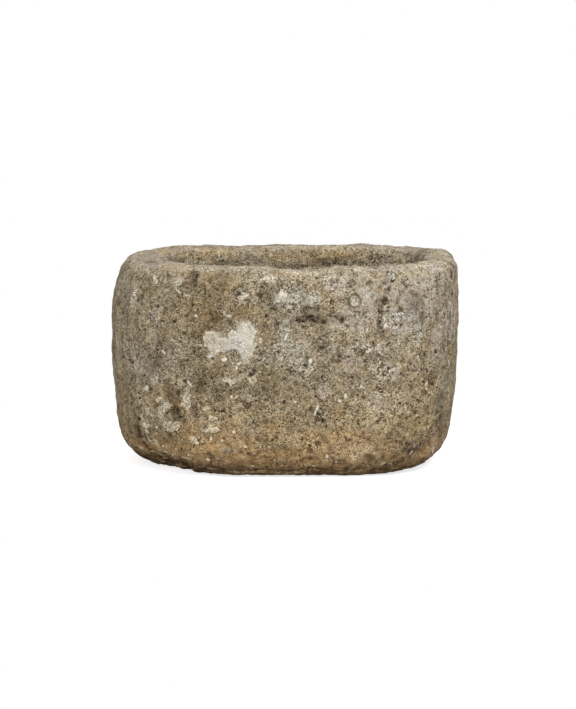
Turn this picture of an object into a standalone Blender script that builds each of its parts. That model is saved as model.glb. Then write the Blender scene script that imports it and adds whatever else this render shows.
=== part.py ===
"""Limestone trough: one block of stone, hewn to shape outside and hollowed out inside.

Metres, +Z up. X runs along the trough, left to right, and Y from front to back.
The origin lies on the bed, the flat underside, below the middle of the block.
A bearing is an angle in plan: 0 is the right end, 90 the back, 180 the left end, 270 the front.
"""

import math
from collections import namedtuple

import bmesh
import bpy
import numpy as np
from mathutils import Vector, noise

# The block, measured over its belly, where it is widest
LENGTH = 0.716
WIDTH = 0.560
HEIGHT = 0.420
BELLY_HEIGHT = 0.290

# How far each wall leans in from the belly up to the rim
RIM_LEAN_RIGHT = 0.005
RIM_LEAN_BACK = 0.012
RIM_LEAN_LEFT = 0.036
RIM_LEAN_FRONT = 0.012

# How far each wall leans in from the belly down to its foot
FOOT_LEAN_RIGHT = 0.031
FOOT_LEAN_BACK = 0.020
FOOT_LEAN_LEFT = 0.034
FOOT_LEAN_FRONT = 0.016

# The lower arris, worn away between the wall's foot and the bed
ARRIS_HEIGHT = 0.062
ARRIS_DEPTH = 0.052

# The walls' thickness at the rim, and the rounding of the rim's two arrises
WALL_RIGHT = 0.062
WALL_BACK = 0.070
WALL_LEFT = 0.078
WALL_FRONT = 0.068
RIM_ROUND_OUTSIDE = 0.021
RIM_ROUND_INSIDE = 0.020

# The hollow: its floor's thickness, how far its wall leans in on the way down, and its cove
FLOOR = 0.090
HOLLOW_LEAN = 0.022
COVE = 0.060

# How square the plan is at each corner: 2 is an ellipse, and a high power is a rectangle
SQUARE_BACK_RIGHT = 3.8
SQUARE_BACK_LEFT = 3.2
SQUARE_FRONT_LEFT = 2.7
SQUARE_FRONT_RIGHT = 3.3

# The hewn and weathered skin: broad waves, and the smaller dressing that lies on them
WAVE_HEIGHT = 0.0060
WAVE_SPAN = 0.190
DRESSING_HEIGHT = 0.0040
DRESSING_SPAN = 0.055

# The spacing of the mesh
COLUMNS = 96
ROW_PITCH = 0.034
ROUND_STEPS = 4

STONE_COLOUR = (0.278, 0.223, 0.149, 1.0)
STONE_ROUGHNESS = 0.92

# Four sizes in one array, in the order right, back, left, front
BELLY_REACH = np.array([LENGTH, WIDTH, LENGTH, WIDTH]) / 2
RIM_LEAN = np.array([RIM_LEAN_RIGHT, RIM_LEAN_BACK, RIM_LEAN_LEFT, RIM_LEAN_FRONT])
FOOT_LEAN = np.array([FOOT_LEAN_RIGHT, FOOT_LEAN_BACK, FOOT_LEAN_LEFT, FOOT_LEAN_FRONT])
WALLS = np.array([WALL_RIGHT, WALL_BACK, WALL_LEFT, WALL_FRONT])

Ring = namedtuple("Ring", "height reach")
Loss = namedtuple("Loss", "bearing height reach depth")
Swell = namedtuple("Swell", "bearing span rise")

# Where the block has lost stone: the place on the outside, how far the loss reaches, how deep it is
LOSSES = (
    Loss(bearing=213, height=0.006, reach=0.135, depth=0.034),
    Loss(bearing=338, height=0.030, reach=0.080, depth=0.003),
    Loss(bearing=283, height=0.312, reach=0.045, depth=0.005),
)

# How the rim rises and falls along the way round: the place, how far it spans, how high it rises
SWELLS = (
    Swell(bearing=270, span=34, rise=-0.005),
    Swell(bearing=287, span=9, rise=-0.003),
    Swell(bearing=336, span=20, rise=0.007),
    Swell(bearing=30, span=12, rise=-0.003),
    Swell(bearing=54, span=16, rise=0.006),
    Swell(bearing=106, span=24, rise=-0.004),
    Swell(bearing=140, span=10, rise=0.003),
)


def plan_radius(bearing, reach):
    """How far an outline lies from the middle: a superellipse, squarer at one corner than at another."""
    right, back, left, front = reach
    along = math.cos(bearing)
    across = math.sin(bearing)
    rightness = (1 + along) / 2
    backness = (1 + across) / 2
    left_power = backness * SQUARE_BACK_LEFT + (1 - backness) * SQUARE_FRONT_LEFT
    right_power = backness * SQUARE_BACK_RIGHT + (1 - backness) * SQUARE_FRONT_RIGHT
    power = rightness * right_power + (1 - rightness) * left_power
    share_along = abs(along) / (right if along > 0 else left)
    share_across = abs(across) / (back if across > 0 else front)
    return (share_along**power + share_across**power) ** (-1 / power)


def place_on(ring, bearing):
    """The point of a ring on a bearing."""
    radius = plan_radius(bearing, ring.reach)
    return Vector((radius * math.cos(bearing), radius * math.sin(bearing), ring.height))


def even_bearings(count):
    """Bearings that divide the belly's outline into equal lengths."""
    fine = np.linspace(0, 2 * math.pi, 1440, endpoint=True)
    belly = Ring(BELLY_HEIGHT, BELLY_REACH)
    points = np.array([place_on(belly, bearing) for bearing in fine])
    steps = np.linalg.norm(np.diff(points, axis=0), axis=1)
    run = np.concatenate([[0], np.cumsum(steps)])
    return np.interp(np.arange(count) / count * run[-1], run, fine)


def wall_lean(height):
    """How far the outer walls stand in from the belly at a height."""
    if height < BELLY_HEIGHT:
        return FOOT_LEAN * (1 - height / BELLY_HEIGHT) ** 2
    return RIM_LEAN * ((height - BELLY_HEIGHT) / (HEIGHT - BELLY_HEIGHT)) ** 2


def outer_ring(height, inset=0.0):
    """A ring on the outer walls, or standing in from them."""
    return Ring(height, BELLY_REACH - wall_lean(height) - inset)


def hollow_ring(height, inset=0.0):
    """A ring on the hollow's walls, or standing in from them."""
    mouth = HEIGHT - RIM_ROUND_INSIDE
    lean = HOLLOW_LEAN * (mouth - height) / (mouth - FLOOR)
    return Ring(height, BELLY_REACH - RIM_LEAN - WALLS - max(0.0, lean) - inset)


def quarter_turn():
    """The angles of a quarter circle, ends included."""
    return [math.pi / 2 * i / ROUND_STEPS for i in range(ROUND_STEPS + 1)]


def rows_between(low, high):
    """Heights between two heights, ends left out, about one row pitch apart."""
    count = max(2, round((high - low) / ROW_PITCH))
    return [low + (high - low) * i / count for i in range(1, count)]


def outside_rings():
    """From the bed's edge, round the lower arris and up the wall."""
    rings = []
    for turn in quarter_turn():
        height = ARRIS_HEIGHT * (1 - math.cos(turn))
        rings.append(outer_ring(height, ARRIS_DEPTH * (1 - math.sin(turn))))
    for height in rows_between(ARRIS_HEIGHT, HEIGHT - RIM_ROUND_OUTSIDE):
        rings.append(outer_ring(height))
    return rings


def rim_rings():
    """Over the rim: its outer round, its nearly level top and its inner round."""
    rings = []
    for turn in quarter_turn():
        height = HEIGHT - RIM_ROUND_OUTSIDE * (1 - math.sin(turn))
        rings.append(outer_ring(height, RIM_ROUND_OUTSIDE * (1 - math.cos(turn))))
    for turn in reversed(quarter_turn()):
        height = HEIGHT - RIM_ROUND_INSIDE * (1 - math.sin(turn))
        rings.append(hollow_ring(height, -RIM_ROUND_INSIDE * (1 - math.cos(turn))))
    return rings


def hollow_rings():
    """Down the hollow's wall and round the cove to the edge of its floor."""
    heights = rows_between(FLOOR + COVE, HEIGHT - RIM_ROUND_INSIDE)
    rings = [hollow_ring(height) for height in reversed(heights)]
    for turn in reversed(quarter_turn()):
        height = FLOOR + COVE * (1 - math.cos(turn))
        rings.append(hollow_ring(height, COVE * (1 - math.sin(turn))))
    return rings


def block_mesh():
    """The block as one closed skin. The bed's edge is extruded from ring to ring: up the outside,
    in over the rim and down the hollow. The bed and the hollow's floor then close the two ends."""
    mesh = bmesh.new()
    bed, *others = outside_rings() + rim_rings() + hollow_rings()
    corners = [mesh.verts.new(place_on(bed, bearing)) for bearing in even_bearings(COLUMNS)]
    bed_edges = [mesh.edges.new(pair) for pair in zip(corners, corners[1:] + corners[:1])]
    edges = bed_edges
    for ring in others:
        made = bmesh.ops.extrude_edge_only(mesh, edges=edges)["geom"]
        for vert in (item for item in made if isinstance(item, bmesh.types.BMVert)):
            vert.co = place_on(ring, math.atan2(vert.co.y, vert.co.x))
        edges = [item for item in made if isinstance(item, bmesh.types.BMEdge) and item.is_boundary]
    bmesh.ops.edgeloop_fill(mesh, edges=bed_edges)
    bmesh.ops.edgeloop_fill(mesh, edges=edges)
    bmesh.ops.recalc_face_normals(mesh, faces=mesh.faces)
    return mesh


def fade(distance, reach):
    """A smooth hump: 1 in the middle, and almost gone at one reach."""
    return math.exp(-3 * (distance / reach) ** 2)


def rim_swell(point):
    """How far the rim rises or sinks here. It fades out down the walls."""
    bearing = math.degrees(math.atan2(point.y, point.x)) % 360
    rise = 0
    for swell in SWELLS:
        apart = abs((bearing - swell.bearing + 180) % 360 - 180)
        rise += swell.rise * fade(apart, swell.span)
    depth_share = (HEIGHT - point.z) / (HEIGHT - FLOOR)
    return rise * max(0, 1 - depth_share) ** 2


def lost_stone(point):
    """How deep the losses near a point reach."""
    depth = 0
    for loss in LOSSES:
        place = place_on(outer_ring(loss.height), math.radians(loss.bearing))
        depth += loss.depth * fade((point - place).length, loss.reach)
    return depth


def skin_relief(point):
    """How far waves and dressing lift the skin at a point, in or out."""
    wave = WAVE_HEIGHT * noise.noise(point / WAVE_SPAN)
    dressing = DRESSING_HEIGHT * noise.noise(point / DRESSING_SPAN)
    return wave + dressing


def weather(mesh):
    """Moves the skin as the mason and the weather left it. The bed and the floor stay flat."""
    mesh.normal_update()
    moves = {}
    for vert in mesh.verts:
        lift = skin_relief(vert.co) - lost_stone(vert.co)
        move = vert.normal * lift + Vector((0, 0, rim_swell(vert.co)))
        if any(len(face.verts) == COLUMNS for face in vert.link_faces):
            move.z = 0
        moves[vert] = move
    for vert, move in moves.items():
        vert.co += move


def stone_material():
    """Dull, warm grey-brown limestone."""
    material = bpy.data.materials.new("limestone")
    material.use_nodes = True
    shader = material.node_tree.nodes["Principled BSDF"]
    shader.inputs["Base Color"].default_value = STONE_COLOUR
    shader.inputs["Roughness"].default_value = STONE_ROUGHNESS
    shader.inputs["Metallic"].default_value = 0.0
    return material


def make_trough():
    """The whole trough: it is cut from one block, so it is one object."""
    mesh = block_mesh()
    weather(mesh)
    data = bpy.data.meshes.new("trough_block")
    mesh.to_mesh(data)
    mesh.free()
    data.materials.append(stone_material())
    data.shade_smooth()
    trough = bpy.data.objects.new("trough_block", data)
    bpy.context.scene.collection.objects.link(trough)
    return trough


def clear_scene():
    """Starts from an empty scene."""
    for item in list(bpy.data.objects):
        bpy.data.objects.remove(item)


clear_scene()
make_trough()
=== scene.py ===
# %% [markdown]
# # A weathered limestone trough
#
# The real trough is one block of limestone. A mason hewed the outside roughly square, rounded the
# corners, and hollowed it out with a point chisel. Rain, frost, moss and lichen did the rest.
# This notebook keeps the block's size and finishes its skin. First the shape: tool marks, chips, a
# crevice and pits, all as real relief. Then the colours: bare stone, lichen, lime and iron stain.

import math
import random
from collections import namedtuple

import bpy
import numpy as np
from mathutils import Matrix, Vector, noise
from mathutils.bvhtree import BVHTree
from mathutils.kdtree import KDTree


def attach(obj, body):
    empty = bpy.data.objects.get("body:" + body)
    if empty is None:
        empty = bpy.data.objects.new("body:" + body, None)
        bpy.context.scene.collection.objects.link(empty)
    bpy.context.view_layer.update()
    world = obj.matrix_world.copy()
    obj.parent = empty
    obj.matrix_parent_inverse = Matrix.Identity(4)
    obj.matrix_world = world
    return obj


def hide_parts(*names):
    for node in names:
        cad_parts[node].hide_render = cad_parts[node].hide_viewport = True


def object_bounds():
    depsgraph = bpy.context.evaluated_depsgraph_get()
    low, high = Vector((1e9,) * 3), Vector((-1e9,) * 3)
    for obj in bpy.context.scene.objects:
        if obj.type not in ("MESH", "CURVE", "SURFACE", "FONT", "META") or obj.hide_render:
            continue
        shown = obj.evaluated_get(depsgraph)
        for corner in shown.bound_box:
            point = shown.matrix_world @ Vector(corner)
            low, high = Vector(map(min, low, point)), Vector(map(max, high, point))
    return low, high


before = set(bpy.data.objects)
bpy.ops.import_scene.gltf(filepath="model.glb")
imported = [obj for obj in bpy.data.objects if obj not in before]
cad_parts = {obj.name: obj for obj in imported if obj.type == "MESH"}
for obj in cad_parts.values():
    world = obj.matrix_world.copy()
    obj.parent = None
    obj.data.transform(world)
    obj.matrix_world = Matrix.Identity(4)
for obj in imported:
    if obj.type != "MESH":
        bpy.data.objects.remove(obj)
cad_low, cad_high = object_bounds()
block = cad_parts["trough_block"]
print("the block measures", [round(side, 3) for side in cad_high - cad_low])

# %% [markdown]
# ## Camera
#
# The photograph was taken from far off with a long lens, a little above the rim: the far rim shows as
# a thin ellipse, and the ends hardly turn away. A short lens close by could frame the trough too, but
# it would bow the rim and spread the ends. The shift moves the picture by a few pixels without turning
# the camera.

# %% Set up the camera
PHOTO_WIDTH = 576
PHOTO_HEIGHT = 709
SENSOR = 36.0
LENS = 122.4
CLIP_END = 100
CAMERA_DISTANCE = 5.0
CAMERA_ELEVATION = math.radians(8.0)
AIM = Vector((0, 0, 0.200))
AIM_SEEN_AT = (284, 361.4)

shift_right = (PHOTO_WIDTH / 2 - AIM_SEEN_AT[0]) / PHOTO_HEIGHT
shift_up = (AIM_SEEN_AT[1] - PHOTO_HEIGHT / 2) / PHOTO_HEIGHT
backwards = Vector((0, -math.cos(CAMERA_ELEVATION), math.sin(CAMERA_ELEVATION)))
bpy.ops.object.camera_add(
    location=AIM + backwards * CAMERA_DISTANCE,
    rotation=(math.pi / 2 - CAMERA_ELEVATION, 0, 0),
)
camera = bpy.context.object
camera.name = "photo_camera"
camera.data.lens = LENS
camera.data.sensor_width = SENSOR
camera.data.shift_x = shift_right
camera.data.shift_y = shift_up
camera.data.clip_end = CLIP_END
bpy.context.scene.camera = camera
bpy.context.view_layer.update()
print("camera at", [round(value, 3) for value in camera.location])

# %% [markdown]
# ## Floor
#
# The stone stands on a plain white floor. A curved sheet of paper behind it is the studio's way, but
# from other sides its edges would show. So the floor is one wide plane. Near the stone it takes the
# shadow, and further off it glows white to the camera, so no horizon shows. It throws little light
# back, because the photograph shows a dark lower edge. It lies a hair below the stone's flat bed,
# because two faces in one plane would show through each other.
#
# Materials are built from nodes. A few helpers keep their code as short as a formula.

# %% Helpers for node trees


def new_material(name):
    """A material with an empty node tree, and that tree."""
    material = bpy.data.materials.new(name)
    material.use_nodes = True
    material.node_tree.nodes.clear()
    return material, material.node_tree


def fill_inputs(tree, node, inputs):
    """Links or sets a node's inputs, by name or number."""
    for name, value in inputs.items():
        socket = node.inputs[name]
        if isinstance(value, bpy.types.NodeSocket):
            tree.links.new(value, socket)
        else:
            socket.default_value = value


def add_node(tree, kind, inputs=None, **settings):
    """Adds a node, sets its properties, and fills its inputs."""
    node = tree.nodes.new(kind)
    for name, value in settings.items():
        setattr(node, name, value)
    fill_inputs(tree, node, inputs or {})
    return node


print("node helpers ready")

# %% Helpers for sums, mixes and ranges
# A Mix node keeps its two colours in sockets 6 and 7, and gives the mixed one in output 2


def calculate(tree, operation, first, second=0.0, third=0.0):
    """A Math node's output."""
    return add_node(tree, "ShaderNodeMath", {0: first, 1: second, 2: third}, operation=operation).outputs[0]


def weighted(tree, start, *parts):
    """A start value plus each part's value times its weight."""
    total = start
    for value, weight in parts:
        total = calculate(tree, "MULTIPLY_ADD", value, weight, total)
    return total


def blend(tree, share, first, second):
    """A Mix node's colour output: the second colour where the share is 1."""
    return add_node(tree, "ShaderNodeMix", {0: share, 6: first, 7: second}, data_type="RGBA").outputs[2]


def remap(tree, value, low, high, to_low=0.0, to_high=1.0, kind="LINEAR"):
    """A Map Range node's output, held between its limits."""
    limits = {"Value": value, "From Min": low, "From Max": high, "To Min": to_low, "To Max": to_high}
    return add_node(tree, "ShaderNodeMapRange", limits, interpolation_type=kind).outputs[0]


print("calculating helpers ready")

# %% Lay the floor
FLOOR_SIZE = 60
FLOOR_GAP = 0.0003
FLOOR_WHITE = (0.86, 0.86, 0.86, 1)
FLOOR_BOUNCE = (0.44, 0.42, 0.40, 1)
FLOOR_GLOW = 0.72
GLOW_STARTS = 0.38
GLOW_FULL = 0.95

bpy.ops.mesh.primitive_plane_add(size=FLOOR_SIZE, location=(0, 0, -FLOOR_GAP))
floor = bpy.context.object
floor.name = "studio_floor"

floor_paint, tree = new_material("floor_paint")
seen = add_node(tree, "ShaderNodeLightPath").outputs["Is Camera Ray"]
where = add_node(tree, "ShaderNodeTexCoord").outputs["Object"]
away = add_node(tree, "ShaderNodeVectorMath", {0: where}, operation="LENGTH").outputs["Value"]
far = remap(tree, away, GLOW_STARTS, GLOW_FULL, kind="SMOOTHSTEP")
matt = add_node(tree, "ShaderNodeBsdfDiffuse", {"Color": blend(tree, seen, FLOOR_BOUNCE, FLOOR_WHITE)})
near_glow = add_node(tree, "ShaderNodeEmission", {"Strength": calculate(tree, "MULTIPLY", seen, FLOOR_GLOW)})
near_floor = add_node(tree, "ShaderNodeAddShader", {0: matt.outputs[0], 1: near_glow.outputs[0]})
far_floor = add_node(tree, "ShaderNodeEmission", {"Strength": 1.0})
far_seen = calculate(tree, "MULTIPLY", far, seen)
whole = add_node(
    tree, "ShaderNodeMixShader", {0: far_seen, 1: near_floor.outputs[0], 2: far_floor.outputs[0]}
)
add_node(tree, "ShaderNodeOutputMaterial", {"Surface": whole.outputs[0]})
floor.data.materials.append(floor_paint)
print("the floor is", FLOOR_SIZE, "m wide")

# %% [markdown]
# ## Light
#
# The photograph's light is soft, and a little stronger from the front right. A sun lamp would be
# simpler, but its hard shadows would drown the fine relief. So a big square lamp on the right gives
# the light its direction, a second one on the left opens the shadows, and a pale sky does the rest.
# Their powers are set so that a colour renders about as it is written.

# %% Set up the sky and the lamps
SKY_LIGHT = 0.50
KEY_POWER = 82
FILL_POWER = 24

world = bpy.data.worlds.new("pale_sky")
world.use_nodes = True
tree = world.node_tree
tree.nodes.clear()
seen = add_node(tree, "ShaderNodeLightPath").outputs["Is Camera Ray"]
strength = remap(tree, seen, 0.0, 1.0, SKY_LIGHT, 1.0)
sky = add_node(tree, "ShaderNodeBackground", {"Color": (1, 1, 1, 1), "Strength": strength})
add_node(tree, "ShaderNodeOutputWorld", {"Surface": sky.outputs[0]})
bpy.context.scene.world = world


def add_lamp(name, bearing, elevation, distance, size, power):
    """A square lamp that faces the trough. Bearing 0 is straight in front, and 90 is on the right."""
    turn = math.radians(bearing)
    climb = math.radians(elevation)
    away = Vector((math.sin(turn) * math.cos(climb), -math.cos(turn) * math.cos(climb), math.sin(climb)))
    bpy.ops.object.light_add(type="AREA", location=AIM + away * distance)
    lamp = bpy.context.object
    lamp.name = name
    lamp.rotation_euler = away.to_track_quat("Z", "Y").to_euler()
    lamp.data.size = size
    lamp.data.energy = power


add_lamp("key_lamp", bearing=28, elevation=45, distance=3.2, size=1.6, power=KEY_POWER)
add_lamp("fill_lamp", bearing=-45, elevation=20, distance=3.5, size=2.0, power=FILL_POWER)
bpy.context.scene.view_settings.view_transform = "Standard"
print("two lamps and a pale sky")

# %% [markdown]
# ## The blank
#
# A sculptor starts from a blank with enough clay everywhere. The block's own faces are far too wide
# for chips and pits, and cutting them up as they are would leave long, uneven ones. So a copy of the
# block has its corners merged and its faces smoothed by a Subdivision Surface, and a voxel Remesh lays
# an even skin of small squares over it. They are a few millimetres wide, fine enough for chips and
# pits. The copy is changed from now on, and the block itself never is.

# %% Copy the block and lay an even skin over it
MERGE_DISTANCE = 0.00005
SKIN_SPACING = 0.0034

stone = bpy.data.objects.new("limestone_trough", block.data.copy())
bpy.context.scene.collection.objects.link(stone)
bpy.ops.object.select_all(action="DESELECT")
stone.select_set(True)
bpy.context.view_layer.objects.active = stone

bpy.ops.object.mode_set(mode="EDIT")
bpy.ops.mesh.select_all(action="SELECT")
bpy.ops.mesh.remove_doubles(threshold=MERGE_DISTANCE)
bpy.ops.mesh.tris_convert_to_quads()
bpy.ops.object.mode_set(mode="OBJECT")


def finish_with(kind, **settings):
    """Adds a modifier to the stone and applies it at once."""
    modifier = stone.modifiers.new(kind.lower(), kind)
    for name, value in settings.items():
        setattr(modifier, name, value)
    bpy.ops.object.modifier_apply(modifier=modifier.name)


finish_with("SUBSURF", levels=2, render_levels=2)
finish_with("REMESH", mode="VOXEL", voxel_size=SKIN_SPACING)
print("the skin has", len(stone.data.vertices), "points")

# %% [markdown]
# ## Places on the stone
#
# Many marks are copied from the photograph. Their places could be typed in as metres, but a pixel can
# be read off the photograph and checked there. The camera's ray through that pixel meets the stone in
# one point, and the mark is laid there with its size in millimetres, in the plane of the skin. Marks
# on the sides that the photograph doesn't show are placed by a bearing round the block and a height.

# %% Find places by pixel or by bearing
MM = 0.001
START_OUTSIDE = 2

Around = namedtuple("Around", "bearing height")


def skin_for_rays():
    """The skin as it is now, in a form that rays can meet."""
    return BVHTree.FromObject(stone, bpy.context.evaluated_depsgraph_get())


smooth_skin = skin_for_rays()
seen_skin = smooth_skin


def ray_from_outside(spot):
    """The start and direction of a level ray towards the block's middle."""
    turn = math.radians(spot.bearing)
    outwards = Vector((math.cos(turn), math.sin(turn), 0))
    return outwards * START_OUTSIDE + Vector((0, 0, spot.height)), -outwards


def ray_through(pixel):
    """The start and direction of the camera's ray through a pixel."""
    right = (pixel[0] - PHOTO_WIDTH / 2) / PHOTO_HEIGHT + shift_right
    up = (PHOTO_HEIGHT / 2 - pixel[1]) / PHOTO_HEIGHT + shift_up
    direction = Vector((right * SENSOR, up * SENSOR, -LENS)).normalized()
    direction.rotate(camera.rotation_euler)
    return camera.location, direction


def place_of(spot):
    """The skin's point at a pixel, or at a bearing and a height, and the smooth skin's normal there."""
    find_ray = ray_from_outside if isinstance(spot, Around) else ray_through
    point = seen_skin.ray_cast(*find_ray(spot))[0]
    if point is None:
        raise ValueError(f"the stone doesn't show at {spot}")
    return point, smooth_skin.find_nearest(point)[1]


print("the white patch lies at", [round(value, 3) for value in place_of((240, 345))[0]])

# %% [markdown]
# ## The skin as arrays
#
# Edit mode moves what is selected, all by one amount. Here each of the skin's many thousand points
# moves by its own amount, as under a sculptor's hand. So the points are read into arrays, moved
# together, and written back to the mesh.

# %% Read the skin as arrays


def read_skin(attribute):
    """One row for each point of the stone's skin: its place (co) or its outward normal."""
    flat = np.empty(len(stone.data.vertices) * 3, np.float32)
    stone.data.vertices.foreach_get(attribute, flat)
    return flat.reshape(-1, 3).astype(float)


def keep_points(points):
    """Writes moved points back to the stone."""
    stone.data.vertices.foreach_set("co", points.astype(np.float32).ravel())
    stone.data.update()


def cloud(span, seed=0):
    """Soft noise over the skin, from about -1 to 1. The span is in metres."""
    shift = Vector((seed * 7.3, seed * 3.1, seed * 5.7))
    return np.array([noise.noise(Vector(point) / span + shift) for point in points])


points = read_skin("co")
normals = read_skin("normal")
print("read", len(points), "points")

# %% [markdown]
# ## Big forms first
#
# The hewing left broad lumps and hollows, a slanting face where the lower right corner was knocked off,
# and a few deep valleys. Booleans with rough cutters could take the stone away, but they leave sharp
# edges, and time has rounded these. So the skin is moved instead. A press pushes it in along its
# normals, or swells it where its depth is negative. A groove does so along a line of places, and a pull
# brings the skin forwards. The edges of presses and grooves wander, so that none looks like a stamp.
# All their sizes are in millimetres, and a turn is in degrees from the level.

# %% Lay out presses, grooves and pulls
Press = namedtuple("Press", "spot wide high depth turn", defaults=(0,))
Groove = namedtuple("Groove", "spots wide depth")
Pull = namedtuple("Pull", "spot wide high forwards")

PRESSES = (
    Press((287, 299), wide=66, high=40, depth=-4.0),
    Press((312, 301), wide=40, high=32, depth=-3.5),
    Press((318, 321), wide=104, high=26, depth=3.2),
    Press((311, 319), wide=46, high=24, depth=4.0),
    Press((298, 320), wide=20, high=14, depth=2.0),
    Press((324, 322), wide=20, high=14, turn=-10, depth=2.4),
    Press((342, 319), wide=18, high=20, depth=2.4),
    Press((385, 301), wide=18, high=22, depth=4.0),
    Press((391, 277), wide=26, high=26, depth=2.0),
    Press((416, 300), wide=110, high=100, depth=-1.5),
    Press((243, 340), wide=70, high=60, depth=-1.2),
    Press((193, 277), wide=30, high=50, depth=3.0),
    Press((262, 300), wide=30, high=60, turn=10, depth=2.5),
    Press((196, 334), wide=50, high=40, depth=2.5),
    Press((186, 384), wide=46, high=80, turn=15, depth=3.0),
    Press((160, 350), wide=50, high=80, depth=2.5),
    Press((137, 430), wide=26, high=64, turn=-18, depth=7.0),
    Press((139, 419), wide=16, high=14, depth=4.0),
    Press((133, 443), wide=40, high=36, depth=-6.0),
    Press((172, 411), wide=30, high=26, depth=3.5),
    Press((320, 418), wide=24, high=26, depth=2.0),
    Press((431, 380), wide=40, high=60, depth=3.0),
    Press((384, 393), wide=30, high=16, depth=2.5),
    Press((454, 320), wide=26, high=90, depth=4.0),
    Press((428, 444), wide=150, high=50, turn=38, depth=5.0),
    Press((300, 472), wide=170, high=16, depth=3.0),
    Press((245, 405), wide=160, high=70, depth=2.5),
    Press((360, 372), wide=110, high=60, depth=-2.5),
    Press(Around(224, 0.014), wide=170, high=60, depth=6.0),
    Press(Around(60, 0.26), wide=150, high=90, turn=20, depth=5.0),
    Press(Around(95, 0.17), wide=110, high=70, turn=-15, depth=-4.0),
    Press(Around(118, 0.31), wide=90, high=60, depth=4.5),
    Press(Around(140, 0.12), wide=120, high=80, turn=30, depth=5.0),
    Press(Around(176, 0.24), wide=80, high=130, depth=4.5),
    Press(Around(190, 0.10), wide=90, high=60, depth=-3.5),
    Press(Around(8, 0.20), wide=90, high=120, depth=4.0),
    Press(Around(32, 0.10), wide=110, high=70, turn=-25, depth=5.0),
    Press(Around(345, 0.30), wide=70, high=60, depth=-3.0),
    Press(Around(352, 0.285), wide=110, high=80, depth=4.5),
    Press(Around(184, 0.325), wide=110, high=50, depth=4.0),
    Press(Around(186, 0.157), wide=100, high=40, depth=4.5),
    Press(Around(214, 0.020), wide=150, high=60, depth=6.0),
    Press(Around(216, 0.008), wide=140, high=50, depth=9.0),
)
GROOVES = (
    Groove(((452, 404), (440, 412), (424, 431), (408, 443), (392, 452)), wide=16, depth=-2.2),
    Groove(((392, 283), (386, 296), (381, 307), (379, 320), (381, 336)), wide=16, depth=3.0),
    Groove(((131, 398), (133, 412), (136, 424), (139, 438), (147, 450), (158, 458)), wide=12, depth=4.5),
    Groove(((141, 414), (144, 424), (147, 434), (153, 443), (162, 452)), wide=12, depth=-3.0),
    Groove(((448, 262), (450, 285), (449, 305), (448, 330), (450, 352)), wide=16, depth=4.0),
    Groove(((199, 467), (215, 469), (239, 471), (262, 470)), wide=10, depth=4.5),
    Groove(((290, 471), (312, 469), (348, 470)), wide=9, depth=3.0),
    Groove((Around(80, 0.37), Around(84, 0.33), Around(83, 0.30)), wide=20, depth=3.0),
    Groove((Around(128, 0.22), Around(120, 0.20), Around(113, 0.205)), wide=12, depth=4.5),
    Groove((Around(158, 0.05), Around(150, 0.035), Around(140, 0.03)), wide=14, depth=4.5),
    Groove((Around(20, 0.33), Around(15, 0.29), Around(17, 0.24)), wide=12, depth=3.5),
)
PULLS = (Pull((146, 450), 120, 50, forwards=12.0), Pull((172, 461), 110, 40, forwards=10.0))
print(len(PRESSES), "presses,", len(GROOVES), "grooves and", len(PULLS), "pulls")

# %% Measure how far the skin lies from a mark
MARK_DEPTH = 30


def fade(share):
    """1 in the middle of a mark, and almost nothing at its edge."""
    return np.exp(-3 * share * share)


def oval_axes(normal, turn):
    """Two directions in the plane of the skin: along an oval turned from the level, and across it."""
    level = Vector((0, 0, 1)).cross(normal).normalized()
    rising = normal.cross(level)
    angle = math.radians(turn)
    along = level * math.cos(angle) + rising * math.sin(angle)
    return along, rising * math.cos(angle) - level * math.sin(angle)


def local_share(place, wide, high, turn):
    """How far each point lies from a place: 0 in the middle of an oval on the skin, 1 at its edge."""
    point, normal = place
    along, across = oval_axes(normal, turn)
    offset = points - np.array(point)
    shares = (
        offset @ np.array(along) / (wide * MM / 2),
        offset @ np.array(across) / (high * MM / 2),
        offset @ np.array(normal) / (max(wide, high, MARK_DEPTH) * MM / 2),
    )
    return np.sqrt(sum(share * share for share in shares))


def line_distance(places):
    """How far each point lies from a line through several places on the skin."""
    nearest = np.full(len(points), np.inf)
    for (start, _), (end, _) in zip(places, places[1:]):
        run = np.array(end - start)
        offset = points - np.array(start)
        share = np.clip(offset @ run / (run @ run), 0, 1)
        nearest = np.minimum(nearest, np.linalg.norm(offset - share[:, None] * run, axis=1))
    return nearest


print("marks can be measured")

# %% Press them into the skin
WANDER_SPAN = 0.012
WANDER = 0.35
SPREAD = 1.15
GROOVE_SPREAD = 1.4

wander = 1 + WANDER * cloud(WANDER_SPAN)
depth = np.zeros(len(points))
for press in PRESSES:
    share = local_share(place_of(press.spot), press.wide, press.high, press.turn)
    depth += press.depth * MM * fade(share * wander / SPREAD)
for groove in GROOVES:
    distance = line_distance([place_of(spot) for spot in groove.spots])
    depth += groove.depth * MM * wander * fade(distance * wander / (groove.wide * MM / GROOVE_SPREAD))
points -= normals * depth[:, None]
for pull in PULLS:
    share = local_share(place_of(pull.spot), pull.wide, pull.high, 0)
    points[:, 1] -= pull.forwards * MM * fade(share / SPREAD)
keep_points(points)
print("deepest mark", round(depth.max() / MM, 1), "mm")

# %% [markdown]
# ## Tool marks and weathering
#
# The real skin is rough at every size. A bump in the material could fake that, but the outline would
# stay smooth and the mesh bare. So three Displace modifiers move the skin, each finer than the last:
# the broad hollows left by the hewing, the dimples of the point chisel, and the crumbly surface of old
# limestone. Their textures are clouds of noise, so no two spots are alike.

# %% Roughen the skin
Roughness = namedtuple("Roughness", "name span depth layers basis")

ROUGHNESS = (
    Roughness("hewing", span=0.060, depth=0.0060, layers=1, basis="IMPROVED_PERLIN"),
    Roughness("dimples", span=0.021, depth=0.0046, layers=1, basis="ORIGINAL_PERLIN"),
    Roughness("crumbling", span=0.0085, depth=0.0034, layers=2, basis="IMPROVED_PERLIN"),
)

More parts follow.
